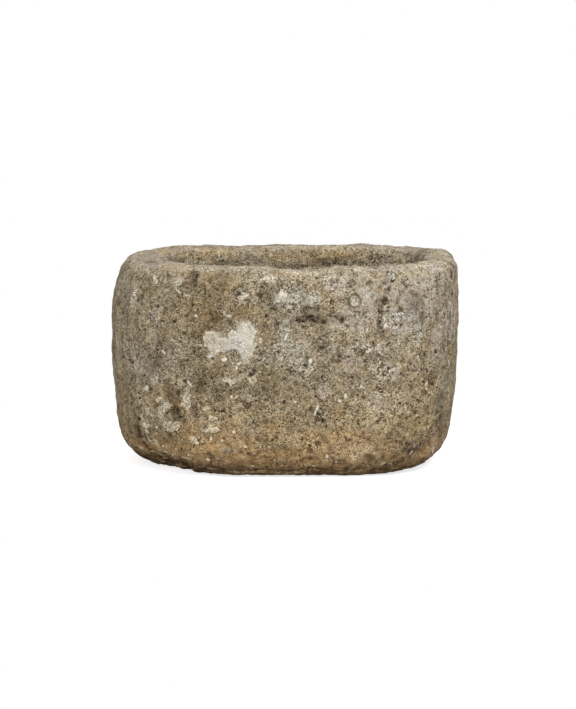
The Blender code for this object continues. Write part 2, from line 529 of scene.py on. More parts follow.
for layer in ROUGHNESS:
    texture = bpy.data.textures.new(layer.name, "CLOUDS")
    texture.noise_scale = layer.span
    texture.noise_depth = layer.layers
    texture.noise_basis = layer.basis
    finish_with("DISPLACE", texture=texture, texture_coords="LOCAL", strength=layer.depth, mid_level=0.5)
print("roughened with", [layer.name for layer in ROUGHNESS])

# %% [markdown]
# ## Chips and pits
#
# Arrises chip, so small scoops are taken out along the rim's two edges and the lower arris. All over,
# the weather has opened pits where softer grains fell out, in clusters rather than evenly. A Boolean
# with a thousand little balls would be slow and could fail, so each scoop lowers the points within its
# radius. Their places come from a seeded random row, so each run gives the same stone.

# %% A helper for scoops
Scoops = namedtuple("Scoops", "count radii depths")

SEED = 11
RIM_CHIPS = Scoops(120, radii=(0.006, 0.016), depths=(0.0010, 0.0028))
LOWER_CHIPS = Scoops(90, radii=(0.008, 0.022), depths=(0.0015, 0.0042))
PITS = Scoops(900, radii=(0.0042, 0.0080), depths=(0.0010, 0.0030))

dice = random.Random(SEED)
points = read_skin("co")
normals = read_skin("normal")
tree_of_points = KDTree(len(points))
for index, point in enumerate(points):
    tree_of_points.insert(point, index)
tree_of_points.balance()


def scooped(mask, kind):
    """How deep small round hollows reach, whose middles are random points of a mask."""
    candidates = np.flatnonzero(mask).tolist()
    depths = np.zeros(len(points))
    for _ in range(kind.count):
        centre = points[dice.choice(candidates)]
        radius = dice.uniform(*kind.radii)
        deep = dice.uniform(*kind.depths)
        for _, index, distance in tree_of_points.find_range(Vector(centre), radius):
            depths[index] = max(depths[index], deep * (1 - (distance / radius) ** 2))
    return depths


print("the seed is", SEED)

# %% Scoop out chips and pits
RIM_BAND = 0.035
LEVEL_ENOUGH = 0.85
LOWER_BAND = 0.050
BED_FACING = -0.9
BED_EDGE = 0.004
CLUSTER_SPAN = 0.050
CLUSTER_START = 0.05

height = points[:, 2]
near_rim_edges = (height > cad_high.z - RIM_BAND) & (abs(normals[:, 2]) < LEVEL_ENOUGH)
near_lower_edge = (height < LOWER_BAND) & (normals[:, 2] > BED_FACING)
in_clusters = (height > BED_EDGE) & (cloud(CLUSTER_SPAN, 4) > CLUSTER_START)
hollowed = scooped(near_rim_edges, RIM_CHIPS)
hollowed = np.maximum(hollowed, scooped(near_lower_edge, LOWER_CHIPS))
hollowed = np.maximum(hollowed, scooped(in_clusters, PITS))
points -= normals * hollowed[:, None]
print(RIM_CHIPS.count + LOWER_CHIPS.count, "chips and", PITS.count, "pits")

# %% [markdown]
# ## Keep the size
#
# The relief must not make the trough bigger or sink it into the ground. Scaling the stone down would
# shift every mark, so only the points that stand out are brought back into the block's own box. Then a
# Decimate modifier spends the triangles where the skin is rough.

# %% Hold the size and thin the mesh
MOST_TRIANGLES = 194000
BOX_MARGIN = 0.0002


def hold_in_box(points):
    """Points that stood outside the block's box, brought back to just inside it."""
    low = np.array(cad_low) + (BOX_MARGIN, BOX_MARGIN, 0)
    return np.clip(points, low, np.array(cad_high) - BOX_MARGIN)


def count_triangles():
    """How many triangles the stone's faces come to."""
    return sum(len(face.vertices) - 2 for face in stone.data.polygons)


keep_points(hold_in_box(points))
finish_with("DECIMATE", ratio=MOST_TRIANGLES / count_triangles())
keep_points(hold_in_box(read_skin("co")))
seen_skin = skin_for_rays()
stone.data.shade_smooth()
print("the finished stone has", count_triangles(), "triangles")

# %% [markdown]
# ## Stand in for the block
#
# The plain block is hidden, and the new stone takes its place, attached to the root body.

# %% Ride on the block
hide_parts("trough_block")
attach(stone, "root")
print(stone.name, "stands for the block")

# %% [markdown]
# ## What grows where
#
# The stone's colour is a map of its life. The foot is brown from iron and wet soil, pale lichens have
# spread over the right half, dark ones sit in the damp hollows, and splashed lime left a white patch. Some
# colours are painted light and shade as well: dark in the crevice and hollows, pale on the rim's top.
# A painter would put all that in one picture and wrap it round the stone. Here each kind gets an
# attribute instead, one number for every point of the skin: 1 inside a patch, 0.5 at its outline, 0
# outside. It needs no picture, and later the shader tears those outlines with fine noise. A patch is
# given by its spot, its width and height in millimetres, its strength, and its turn in degrees.

# %% Measure the finished skin
FINE_ROUNDS = 4
BROAD_ROUNDS = 30

points = read_skin("co")
normals = read_skin("normal")
heights = points[:, 2]
edge_ends = np.empty(len(stone.data.edges) * 2, np.int32)
stone.data.edges.foreach_get("vertices", edge_ends)
edge_ends = edge_ends.reshape(-1, 2)
neighbours = np.bincount(edge_ends.ravel(), minlength=len(points))


def averaged(values, rounds):
    """Values blended with their neighbours' along the mesh, several times over."""
    for _ in range(rounds):
        total = np.zeros_like(values)
        np.add.at(total, edge_ends[:, 0], values[edge_ends[:, 1]])
        np.add.at(total, edge_ends[:, 1], values[edge_ends[:, 0]])
        values = (values + (total.T / neighbours).T) / 2
    return values


finer = averaged(points, FINE_ROUNDS)
broader = averaged(finer, BROAD_ROUNDS)
fine_hollow = ((finer - points) * normals).sum(axis=1) / MM
broad_hollow = ((broader - finer) * normals).sum(axis=1) / MM
print("fine hollows reach", round(fine_hollow.max(), 2), "mm and broad ones", round(broad_hollow.max(), 2))

# %% Say what a patch is
STRONGEST = 1.5

Patch = namedtuple("Patch", "spot wide high strength turn", defaults=(1.0, 0))


def patch_field(place, wide, high, strength, turn):
    """A patch's strength over its inner half, half of it at its outline, nothing further out."""
    return strength * np.clip(1.5 - local_share(place, wide, high, turn), 0, 1)


def joined_field(patches):
    """The fields of several patches in one: the strongest one counts."""
    field = np.zeros(len(points))
    for patch in patches:
        field = np.maximum(field, patch_field(place_of(patch.spot), *patch[1:]))
    return field


def keep_field(name, values):
    """Stores one number for each point of the skin as an attribute."""
    attribute = stone.data.attributes.new(name, "FLOAT", "POINT")
    attribute.data.foreach_set("value", np.clip(values, 0, STRONGEST).astype(np.float32))


print("a patch has", ", ".join(Patch._fields))

# %% [markdown]
# ### Lichen
#
# Pale grey lichen has spread over most of the right half, and greener kinds grow below the rim and
# down the middle. Strewing them by chance would be quick, but the photograph shows where each colony
# grows. So they are placed one by one, and a large one is a few ovals that overlap.

# %% Lay out pale and green lichen
PALE_LICHEN = (
    Patch((418, 300), 96, 100),
    Patch((392, 290), 30, 60, 0.9),
    Patch((400, 320), 60, 60, 0.95),
    Patch((434, 266), 60, 36, 0.9),
    Patch((355, 320), 90, 60, 0.8),
    Patch((350, 284), 110, 56, 0.76),
    Patch((366, 302), 60, 60, 0.74),
    Patch((390, 268), 150, 26, 0.8),
    Patch((269, 279), 52, 18, 0.95),
    Patch((388, 370), 56, 34, 0.95, turn=-10),
    Patch((379, 404), 58, 34, 0.95, turn=-25),
    Patch((324, 392), 32, 26, 1.1),
    Patch((362, 386), 16, 12, 0.9),
    Patch((340, 356), 110, 50, 0.62),
    Patch((437, 340), 36, 90, 0.66),
    Patch((134, 262), 22, 20, 0.9),
    Patch((157, 277), 28, 22, 0.95),
    Patch((178, 282), 24, 22, 0.95),
    Patch((133, 296), 22, 56, 0.85),
    Patch((154, 312), 56, 30, 0.7),
    Patch((151, 324), 40, 20, 0.65),
    Patch((242, 296), 26, 32, 0.9),
    Patch((228, 317), 20, 18, 0.85),
    Patch((135, 356), 22, 20, 0.8),
    Patch((147, 366), 40, 40, 0.6),
    Patch((208, 428), 30, 16, 0.85),
    Patch((228, 452), 50, 20, 0.62),
    Patch((145, 432), 16, 36, 0.8, turn=20),
    Patch((253, 377), 18, 34, 0.85),
    Patch((192, 398), 26, 50, 0.75, turn=10),
    Patch((155, 378), 30, 30, 0.65),
    Patch((440, 400), 30, 60, 0.62),
)
GREEN_LICHEN = (
    Patch((286, 298), 60, 46),
    Patch((311, 301), 36, 28, 0.95),
    Patch((285, 336), 26, 72, 0.85),
    Patch((292, 352), 70, 44, 0.95),
    Patch((306, 367), 50, 28, 0.9),
    Patch((332, 352), 46, 40, 0.74),
    Patch((270, 366), 110, 60, 0.6),
    Patch((354, 301), 22, 22),
    Patch((323, 342), 20, 20, 0.8),
    Patch((367, 380), 24, 24, 0.8),
    Patch((140, 362), 40, 50, 0.6),
    Patch((419, 332), 36, 50, 0.7),
)
print(len(PALE_LICHEN), "patches of pale lichen and", len(GREEN_LICHEN), "of green")

# %% [markdown]
# ### Lime
#
# The white patch left of the middle is splashed lime, and it is what everyone sees first. An outline
# drawn point by point would be stiff and hard to change, so it is built of ovals as well, more than for
# any other patch: two big lobes, a tail and small splashes. Two lesser patches lie at the back.

# %% Lay out lime
LIME = (
    Patch((246, 333), 35, 46, 1.1),
    Patch((246, 347), 33, 50, 1.1),
    Patch((236.5, 336), 36, 26, turn=10),
    Patch((228, 343), 46, 17, turn=-22),
    Patch((212, 335), 32, 14, 0.95, turn=3),
    Patch((206, 341), 11, 26, 0.9),
    Patch((214, 339), 26, 14, 0.85),
    Patch((214, 346), 30, 24, 0.82),
    Patch((225, 349), 22, 14, 0.82),
    Patch((211, 355), 22, 14, 0.76),
    Patch((219, 350), 26, 11, 0.8),
    Patch((224.5, 360), 12, 9, 0.9),
    Patch((246, 362), 14, 10, 0.8),
    Patch((255, 345), 10, 14, 0.8),
)
HIDDEN_LIME = (
    Patch(Around(70, 0.30), 34, 24, turn=30),
    Patch(Around(67, 0.285), 22, 36, 0.9, turn=-10),
    Patch(Around(74, 0.31), 26, 14, 0.8),
    Patch(Around(152, 0.21), 24, 40, 0.9, turn=20),
)
print(len(LIME), "ovals of lime in front and", len(HIDDEN_LIME), "behind")

# %% [markdown]
# ### Ochre and brown
#
# Where little grows, iron colours the stone ochre, and wet soil has stained the foot rust-brown. A
# gradient in height would stain the foot evenly all along, and the real band rises and falls. So ovals
# are laid over it.

# %% Lay out ochre and rust-brown stains
OCHRE = (
    Patch((208, 278), 30, 44, 0.95),
    Patch((229, 284), 34, 44),
    Patch((247, 309), 46, 26),
    Patch((263, 330), 30, 60, 0.8),
    Patch((146, 270), 30, 26),
    Patch((190, 306), 80, 40, 0.8),
    Patch((205, 316), 40, 30, 0.9),
    Patch((404, 307), 18, 14),
    Patch((386, 331), 18, 20),
    Patch((352, 283), 24, 22, 0.85),
    Patch((417, 298), 20, 34, 0.9),
    Patch((177, 405), 36, 40),
    Patch((453, 334), 14, 100, 0.9),
    Patch((190, 256), 80, 16, 0.9),
    Patch((281, 256), 90, 18, 0.8),
    Patch((420, 420), 80, 50, 0.75),
)
BROWN = (
    Patch((235, 458), 220, 44),
    Patch((225, 446), 150, 60, 0.8),
    Patch((320, 462), 180, 40, 0.9),
    Patch((350, 440), 190, 60, 0.62),
    Patch((155, 444), 90, 40, 0.95),
    Patch((190, 432), 60, 60, 0.7),
    Patch((124, 434), 26, 60, 0.95),
    Patch((122, 396), 26, 110, 0.72),
    Patch((166, 404), 90, 80, 0.68),
    Patch((430, 380), 40, 60, 0.62),
    Patch((405, 452), 90, 44, 0.75, turn=20),
)
print(len(OCHRE), "ochre patches and", len(BROWN), "brown ones")

# %% [markdown]
# ### Dark stains and painted shade
#
# Dark lichen and old dirt sit round the crusts, under the rim and elsewhere. In the crevice, on the far
# wall just above the near rim and along the right edge, the dark patches are partly dirt and partly
# painted shade. The lamps' shadows darken such hollows a little by themselves, but the photograph shows
# more.

# %% Lay out dark stains and painted shade
DARK_STAINS_AND_SHADE = (
    Patch((193, 277), 24, 40, 0.85),
    Patch((196, 336), 32, 26, 0.85),
    Patch((208, 326), 20, 18, 0.8),
    Patch((175, 308), 20, 26, 0.8, turn=40),
    Patch((200, 352), 50, 36, 0.7),
    Patch((197, 384), 34, 54, 0.8, turn=10),
    Patch((176, 413), 24, 32, 1.15),
    Patch((184, 419), 16, 20, 0.95),
    Patch((174, 394), 46, 36),
    Patch((154, 404), 14, 26, 0.85, turn=10),
    Patch((196, 412), 24, 34, 0.85),
    Patch((223, 411), 18, 13),
    Patch((163, 340), 30, 50, 0.7),
    Patch((158, 362), 26, 50, 0.8),
    Patch((180, 366), 24, 40, 0.75),
    Patch((262, 325), 18, 20, 0.7),
    Patch((275, 325), 24, 22, 0.85),
    Patch((262, 295), 14, 40, 0.8, turn=10),
    Patch((274, 304), 12, 26, 0.9, turn=35),
    # the crevice below the lump: painted shade, partly dirt
    Patch((309, 310), 50, 22, 0.8),
    Patch((311.5, 319.5), 46, 22, 1.1),
    Patch((298, 320.5), 20, 10),
    Patch((323.5, 322.5), 18, 10),
    Patch((342, 320), 14, 18, 0.95),
    Patch((334, 315), 24, 14, 0.85),
    Patch((316, 327), 60, 24, 0.7),
    Patch((391, 277), 22, 24),
    Patch((385, 301), 15, 18, 1.1),
    Patch((380, 320), 12, 56),
    Patch((378, 302), 22, 24, 0.75),
    Patch((352, 284), 22, 24, 0.85),
    Patch((333, 283), 22, 22, 0.8),
    Patch((405, 285), 14, 22, 0.8),
    Patch((359, 352), 26, 18, 0.75),
    Patch((337, 358), 36, 30, 0.85),
    Patch((323, 344), 22, 26, 0.75),
    Patch((320, 418), 24, 26),
    Patch((382, 391), 30, 14),
    Patch((368, 385), 10, 12, 0.9),
    Patch((373, 343), 10, 10, 0.9),
    Patch((436, 352), 12, 12, 1.1),
    Patch((424, 355), 26, 30, 0.75),
    Patch((431, 378), 34, 50, 0.85),
    Patch((422, 316), 24, 40, 0.8),
    # the right edge, where the end turns away: painted shade
    Patch((452, 293), 12, 20, 1.05),
    Patch((451, 270), 7, 50, 0.95),
    Patch((450, 320), 7, 60, 0.9),
    Patch((412, 452), 90, 24, 0.8, turn=38),
    Patch((440, 428), 26, 60, 0.75, turn=20),
    Patch((139, 419), 13, 9, 1.2),
    Patch((136, 432), 14, 44, 0.85, turn=-10),
    Patch((122, 400), 16, 90, 0.75),
    Patch((118, 330), 12, 120, 0.6),
    Patch((268, 392), 60, 26, 0.66),
    Patch((225, 392), 60, 40, 0.72),
    Patch((158, 306), 10, 10),
    Patch((174, 321), 12, 12, 1.1),
    Patch((219, 271), 30, 10, 0.75),
    Patch((215, 257), 26, 18, 0.85),
    Patch((250, 257), 22, 20, 0.85),
    Patch((232, 262), 60, 10, 0.75),
    Patch((324, 261), 60, 16, 0.95),
    Patch((348, 258), 20, 16, 0.8),
    Patch((378, 257), 60, 15, 0.95),
    Patch((405, 254), 40, 10, 0.85),
    # the far wall just above the near rim: painted shade
    Patch((300, 266), 130, 6, 0.85),
)
print(len(DARK_STAINS_AND_SHADE), "dark stains")

# %% [markdown]
# ### Crust
#
# At the lower left, and in places below the rim, old lichen has built up a knobbly, nearly white crust
# with dark soil round its islands. Two kinds of patches would never fit each other so closely. So one
# field serves both: crust grows where noise is high on it, and soil shows where noise is low.

# %% Lay out crust
CRUST = (
    Patch((147, 387.5), 18, 17, 1.1),
    Patch((159.5, 398), 20, 15, 1.2, turn=-30),
    Patch((165, 406), 26, 20, 1.25),
    Patch((161, 414), 19, 36, 1.2, turn=15),
    Patch((171, 427), 46, 24, 1.35, turn=-15),
    Patch((179, 424.5), 13, 12),
    Patch((185.5, 405), 28, 22, 1.25, turn=-20),
    Patch((187, 397), 24, 24, 1.15),
    Patch((192.5, 419), 15, 11, 1.1),
    Patch((209.5, 429), 34, 17, 1.3),
    Patch((212, 418), 22, 26, 1.1),
    Patch((197, 441), 34, 18, 1.2, turn=-15),
    Patch((152, 419), 22, 20, 0.75),
    Patch((157, 380), 26, 22, 0.7),
    Patch((233.5, 396.5), 20, 14, 0.95),
    Patch((230, 381.5), 32, 22, 0.85),
    Patch((247, 405), 22, 20),
    Patch((252.5, 378), 19, 38, 1.1),
    Patch((307, 369), 40, 22),
    Patch((184, 458), 50, 10, 0.9, turn=-10),
    Patch((150, 441), 50, 36, 0.95),
    Patch((165, 452), 50, 22, turn=-15),
    Patch((144, 425), 20, 40, 0.95, turn=15),
    Patch((147, 410), 26, 30, 0.95),
    Patch((206, 409), 18, 12),
    Patch((182, 377), 14, 16),
    Patch((219, 459.5), 24, 9),
    Patch((297, 299), 26, 24, 0.95),
    Patch((278, 447), 60, 14, 0.75),
    Patch((157, 277), 30, 20, 1.1, turn=-30),
    Patch((179, 283), 24, 22, 1.1),
    Patch((134, 293), 16, 44, 0.9),
    Patch((157, 317), 18, 14, 0.9),
    Patch((270, 279), 50, 12, 0.95),
    Patch((242, 297), 26, 34, 1.1),
    Patch((391, 277), 22, 22, 1.1),
    Patch((283, 296), 34, 34),
    Patch((292, 303), 34, 30, 1.1),
    Patch((313, 301), 26, 22),
    Patch((384, 318), 18, 30),
    Patch((400, 315), 50, 24, 0.9),
    Patch((372, 350), 60, 40, 0.7),
    Patch((381, 393), 32, 16),
    Patch((362, 386), 16, 20, 0.95),
    Patch((384, 371), 50, 30, 0.8, turn=-15),
    Patch((426, 378), 40, 50, 0.6),
)
print(len(CRUST), "patches of crust")

# %% [markdown]
# ### Specks, pits and rings
#
# The photograph shows white specks, some long and thin, black pits in the crevice and elsewhere, and
# two lichens that have grown outwards into rings. In the crevice and along the right edge, the black
# marks are partly pits and partly painted shade. Noise could strew such marks, but the eye knows the
# clearest ones by their places. Each is a patch too, kept in a finer way that comes further down.

# %% Lay out white specks, black pits and rings
SPECKS = (
    Patch((179, 292), 11, 4, turn=-35),
    Patch((187, 295.5), 14, 4, turn=-10),
    Patch((196, 316), 6, 6),
    Patch((224, 313), 4, 8),
    Patch((163.5, 352), 12, 4, turn=-45),
    Patch((189, 383.5), 17, 5, turn=-50),
    Patch((146.8, 388), 9, 8),
    Patch((160, 398), 9, 6, turn=20),
    Patch((345.5, 396), 6, 10),
    Patch((339.5, 401), 8, 6),
    Patch((317.3, 408), 5, 12, turn=-14),
    Patch((315, 413.5), 4, 11, turn=-16),
    Patch((310.5, 361), 7, 11),
    Patch((156.9, 427.5), 7, 7),
    Patch((148.5, 424.5), 5, 5),
    Patch((211, 439), 5, 8),
    Patch((216.5, 428.5), 6, 6),
    Patch((234, 432), 8, 6),
    Patch((245.4, 447), 6, 5),
    Patch((208, 459.5), 7, 9, turn=20),
    Patch((222, 440.5), 5, 5),
    Patch((188.5, 455), 5, 5),
    Patch((172.7, 455), 5, 5),
    Patch((197, 443), 6, 5),
    Patch((141, 448), 8, 5, turn=-20),
    Patch((147, 443), 6, 5),
    Patch((163, 446), 7, 5, turn=20),
    Patch((176, 449), 5, 5),
    Patch((154, 451.5), 13, 6, turn=-30),
    Patch((159.5, 454.5), 12, 5, turn=-20),
    Patch((166, 458), 9, 5, turn=-40),
    Patch((252.6, 466), 8, 4),
    Patch((327, 456.5), 6, 9),
    Patch((336, 462), 7, 6),
    Patch((314.5, 466), 10, 5),
    Patch((383, 463.5), 12, 6, turn=30),
    Patch((414.5, 446), 5, 10, turn=30),
    Patch((411, 453), 5, 12, turn=-30),
    Patch((433, 450), 6, 18, turn=15),
    Patch((449, 363), 4, 17, turn=35),
    Patch((229, 316), 9, 6),
    Patch((278, 301), 8, 6),
    Patch((281, 294), 9, 5),
    Patch((389, 274), 6, 6),
    Patch((394, 278), 5, 5),
    Patch((286, 337), 4, 16, turn=-20),
    Patch((295, 402), 6, 5),
    Patch((210, 332.6), 24, 4, turn=2),
    Patch((204, 337.5), 5, 6),
    Patch((224.7, 359.7), 9, 7, turn=20),
    Patch((239, 363.5), 10, 4, turn=30),
    Patch((236.5, 368), 4, 7),
    Patch((256, 331.6), 4, 5),
    Patch((260.5, 339), 6, 4),
    Patch((260.5, 342), 6, 4),
)
SEEN_PITS_AND_SHADE = (
    # The first seven lie in the crevice: partly pits, partly painted shade at its darkest.
    Patch((297.5, 320.5), 10, 5),
    Patch((303, 321.5), 9, 5, turn=10),
    Patch((310, 316.5), 15, 5, turn=12),
    Patch((314, 320.5), 13, 5, turn=-10),
    Patch((323.5, 322.7), 10, 5),
    Patch((342, 320), 6, 9),
    Patch((335, 316.5), 8, 4),
    Patch((158, 306.5), 6, 6),
    Patch((174.5, 321.6), 8, 6, turn=20),
    Patch((118, 369), 5, 7),
    Patch((167, 413), 7, 6),
    Patch((178, 411), 9, 12),
    Patch((181, 417), 7, 6),
    Patch((138.5, 419.5), 11, 6),
    Patch((388, 272), 6, 6),
    Patch((392, 281), 7, 5),
    Patch((379, 311), 5, 9),
    Patch((380, 322), 4, 7),
    Patch((383, 332), 6, 6),
    Patch((419, 283), 5, 5),
    Patch((428, 290), 5, 6),
    Patch((436, 281), 5, 5),
    Patch((373, 343), 6, 6),
    Patch((435.5, 352), 8, 6),
    Patch((424, 354), 6, 6),
    # these two darken the right edge, where the end turns away: painted shade
    Patch((452, 293), 6, 9),
    Patch((451, 272), 4, 14),
    Patch((318, 414), 7, 7),
    Patch((323, 421), 7, 6),
    Patch((381, 392), 10, 5),
    Patch((305, 365), 5, 8, turn=30),
    Patch((303, 372), 6, 5),
    Patch((349, 357), 6, 5),
    Patch((365, 361), 6, 7),
    Patch((427, 371), 6, 6),
    Patch((432, 384), 7, 7),
    Patch((274, 309), 5, 8, turn=30),
    Patch((262, 287), 6, 6),
    Patch((197, 276), 6, 8),
    Patch((215, 411), 6, 5),
    Patch((223, 411), 9, 6),
    Patch((360, 437), 5, 5),
    Patch((256, 401), 6, 5),
)
RINGS = (Patch((354.5, 301), 29, 28), Patch((323, 342), 28, 27))
print(len(SPECKS), "specks,", len(SEEN_PITS_AND_SHADE), "pits and", len(RINGS), "rings")

# %% [markdown]
# ### Broad stains and painted light and shade
#
# Below all that grows, the stone is duller here and paler there, warmer here and cooler there. Part of
# the light is painted light and shade: stains darken the band below the rim and the rim's right corner,
# where the lamps fall strongly, and brighten the shaded left end, lower left and foot. Noise alone would
# put such changes anywhere. A stain puts one where the photograph has it: a wide oval that fades out
# softly. Its light and warmth are in hundredths, and below 0 it is darker or bluer.

# %% Lay out broad stains and painted light and shade
ShadeStain = namedtuple("ShadeStain", "spot wide high light warm", defaults=(0,))

SHADES_AND_STAINS = (
    ShadeStain((190, 292), 110, 96, -35, 2),
    ShadeStain((218, 292), 84, 110, -38, 3),
    ShadeStain((216, 320), 84, 60, -40, 3),
    ShadeStain((244, 310), 100, 70, -32, 3),
    ShadeStain((272, 295), 34, 70, -38),
    ShadeStain((297, 291), 34, 26, -34),
    ShadeStain((267, 341), 34, 60, -34),
    ShadeStain((152, 366), 40, 80, -34),
    ShadeStain((175, 402), 44, 80, -20, 3),
    ShadeStain((202, 380), 64, 80, -40, 3),
    ShadeStain((191, 363), 34, 36, -40, 2),
    ShadeStain((214, 374), 60, 44, -28, 2),
    ShadeStain((270, 376), 120, 70, -36, 6),
    ShadeStain((305, 296), 24, 40, -20),
    ShadeStain((316, 374), 60, 40, -22, 2),
    ShadeStain((334, 360), 56, 50, -26, 3),
    ShadeStain((341, 411), 44, 44, -18, 4),
    ShadeStain((390, 381), 60, 20, -32),
    ShadeStain((376, 352), 50, 40, -16),
    ShadeStain((352, 276), 70, 50, -12),
    ShadeStain((340, 269), 60, 26, -24),
    ShadeStain((388, 276), 40, 40, -50),
    ShadeStain((416, 301), 76, 60, -48, 5),
    ShadeStain((420, 322), 50, 50, -12),
    ShadeStain((441, 410), 50, 120, -44, -1),
    ShadeStain((408, 447), 120, 50, -50, -4),
    ShadeStain((288, 451), 70, 30, -28, 5),
    ShadeStain((225, 420), 90, 40, -8, 2),
    ShadeStain((152, 262), 90, 40, -56, 3),
    ShadeStain((240, 273), 80, 24, -24),
    ShadeStain((162, 288), 30, 30, -14),
    ShadeStain((205, 274), 130, 12, -20, 3),
    ShadeStain((312, 320), 90, 26, -20, 3),
    ShadeStain((300, 251), 80, 20, -24),
    ShadeStain((340, 261), 70, 30, -26, -1),
    ShadeStain((451, 263), 44, 60, -60),
    ShadeStain((296, 265), 150, 16, -32),
    ShadeStain((362, 262), 130, 16, -32, -1),
    ShadeStain((228, 262), 90, 10, -16),
    ShadeStain((128, 424), 24, 40, -20),
    ShadeStain((117, 340), 40, 330, 56),
    ShadeStain((119, 284), 30, 70, 40),
    ShadeStain((132, 294), 60, 60, 26),
    ShadeStain((178, 368), 24, 34, 26),
    ShadeStain((139, 394), 30, 50, 24),
    ShadeStain((146, 422), 56, 60, 56),
    ShadeStain((160, 448), 100, 50, 84, -3),
    ShadeStain((203, 463), 90, 30, 10, 8),
    ShadeStain((228, 287), 30, 30, 24),
    ShadeStain((250, 295), 30, 30, 18),
    ShadeStain((301, 274), 50, 30, 32, -4),
    ShadeStain((327, 285), 70, 40, 24, -6),
    ShadeStain((330, 294), 50, 50, 26, -2),
    ShadeStain((341, 327), 40, 30, 18),
    ShadeStain((368, 292), 50, 40, 14, -6),
    ShadeStain((360, 343), 60, 50, 12, -2),
    ShadeStain((387, 370), 60, 50, 38, -2),
    ShadeStain((323, 392), 30, 30, 22),
    ShadeStain((366, 412), 76, 66, 42, -2),
    ShadeStain((398, 403), 60, 66, 32),
    ShadeStain((402, 353), 70, 50, 4, -6),
    ShadeStain((356, 453), 120, 60, 36, -8),
    ShadeStain((305, 440), 60, 40, 34, 4),
    ShadeStain((275, 428), 56, 40, 24, 7),
    ShadeStain((210, 424), 40, 30, 26, -2),
    ShadeStain((209, 448), 56, 34, 48, 6),
    ShadeStain((422, 353), 40, 40, 14, 2),
    ShadeStain((426, 382), 70, 80, 14, 3),
    ShadeStain((174, 263), 60, 24, 28, 3),
    ShadeStain((421, 265), 70, 30, 28),
    ShadeStain((438, 262), 50, 26, 22),
    ShadeStain((165, 418), 90, 90, 0, -4),
    ShadeStain((252, 288), 120, 60, -8),
    ShadeStain((215, 251), 150, 34, 22, 8),
    ShadeStain((165, 252), 90, 34, 4, 8),
    ShadeStain((340, 256), 190, 34, 4, 8),
    ShadeStain((300, 300), 150, 110, 0, -3),
    ShadeStain((410, 310), 170, 150, 0, -5),
    ShadeStain((434, 276), 80, 76, 8, -7),
    ShadeStain((454, 296), 24, 50, 38, -3),
    ShadeStain((237, 342), 70, 70, 16, -5),
    ShadeStain((308, 343), 60, 50, 0, -4),
    ShadeStain((275, 309), 50, 40, 0, -4),
    ShadeStain((150, 285), 70, 80, 0, 3),
    ShadeStain((195, 336), 110, 60, -8, 4),
    ShadeStain((180, 444), 110, 50, 0, 5),
    ShadeStain((322, 473), 300, 16, 34),
)
print(len(SHADES_AND_STAINS), "broad stains")

# %% [markdown]
# ## Fields
#
# The patches of one kind make one field: those that the photograph shows, in front, and others of like
# sizes, strewn over the sides that it doesn't show. Repeating the front's own patches there would be
# less work, but the eye would soon find them again. Then come the zones that the shape gives: brown at
# the foot and darker at its lower edge, partly damp and partly painted shade; pale on the rim, partly
# wear and partly painted light on its upward face; and dirt and painted shade where the skin sinks in
# and inside the basin.

# %% Strew patches over the hidden sides
FRONT_FACING = -0.45
STREWN_ABOVE = 0.02
STREW_SEED = 5

SHOWN = {
    "pale": PALE_LICHEN,
    "green": GREEN_LICHEN,
    "lime": LIME + HIDDEN_LIME,
    "ochre": OCHRE,
    "dark": DARK_STAINS_AND_SHADE,
    "crust": CRUST,
    "brown": BROWN,
}
Strewn = namedtuple("Strewn", "count sizes strengths")

STREWN = {
    "pale": Strewn(60, sizes=(20, 90), strengths=(0.6, 1.0)),
    "green": Strewn(30, sizes=(20, 70), strengths=(0.6, 1.0)),
    "ochre": Strewn(50, sizes=(20, 90), strengths=(0.7, 1.0)),
    "dark": Strewn(80, sizes=(12, 60), strengths=(0.65, 1.0)),
    "crust": Strewn(26, sizes=(30, 80), strengths=(0.7, 1.0)),
}

strewer = random.Random(STREW_SEED)
hidden = np.flatnonzero((normals[:, 1] > FRONT_FACING) & (heights > STREWN_ABOVE)).tolist()


def strewn_field(kind):
    """The fields of random patches on the sides that the photograph doesn't show."""
    field = np.zeros(len(points))
    for _ in range(kind.count):
        index = strewer.choice(hidden)
        place = Vector(points[index]), Vector(normals[index])
        wide = strewer.uniform(*kind.sizes)
        high = wide * strewer.uniform(0.5, 1.2)
        turn = strewer.uniform(-40, 40)
        strength = strewer.uniform(*kind.strengths)
        field = np.maximum(field, patch_field(place, wide, high, strength, turn))
    return field


fields = {name: joined_field(patches) for name, patches in SHOWN.items()}
for name, kind in STREWN.items():
    fields[name] = np.maximum(fields[name], strewn_field(kind))
print("strewn over", len(hidden), "hidden points")

# %% Add the brown foot, and the damp and painted shade at its lower edge
BROWN_FULL = 0.045
BROWN_GONE = 0.150
BROWN_MOST = 0.85
DARK_FOOT_HEIGHT = 0.034
DRY_FOOT = Patch((156, 450), 130, 60, 0.9)


def share_below(full, gone):
    """1 below one height, 0 above another, and a steady slope between them."""
    return np.clip((gone - heights) / (gone - full), 0, 1)


foot_share = share_below(BROWN_FULL, BROWN_GONE)
wandering = 0.35 * cloud(span=0.080, seed=1) + 0.15 * cloud(span=0.030, seed=2)
foot_brown = np.clip(foot_share * BROWN_MOST + wandering, 0, 1) * foot_share
fields["brown"] = np.maximum(fields["brown"], foot_brown)
# The foot field darkens the lowest band: partly damp, partly painted shade where the edge turns under.
fields["foot"] = np.clip(1.3 - heights / DARK_FOOT_HEIGHT, 0, 1) * (1 - joined_field([DRY_FOOT]))
print("the brown ends", BROWN_GONE, "m above the ground")

# %% Add the zones that the shape gives
INSIDE_ABOVE = 0.07
BED_START = 0.70
BED_FULL = 0.90
ENDS_START = 0.45
ENDS_FULL = 0.80
WORN_LIT_RIM = 0.026
RIM_RISE = 1.5
FINE_RANGE = 2.0
BROAD_RANGE = 8.0

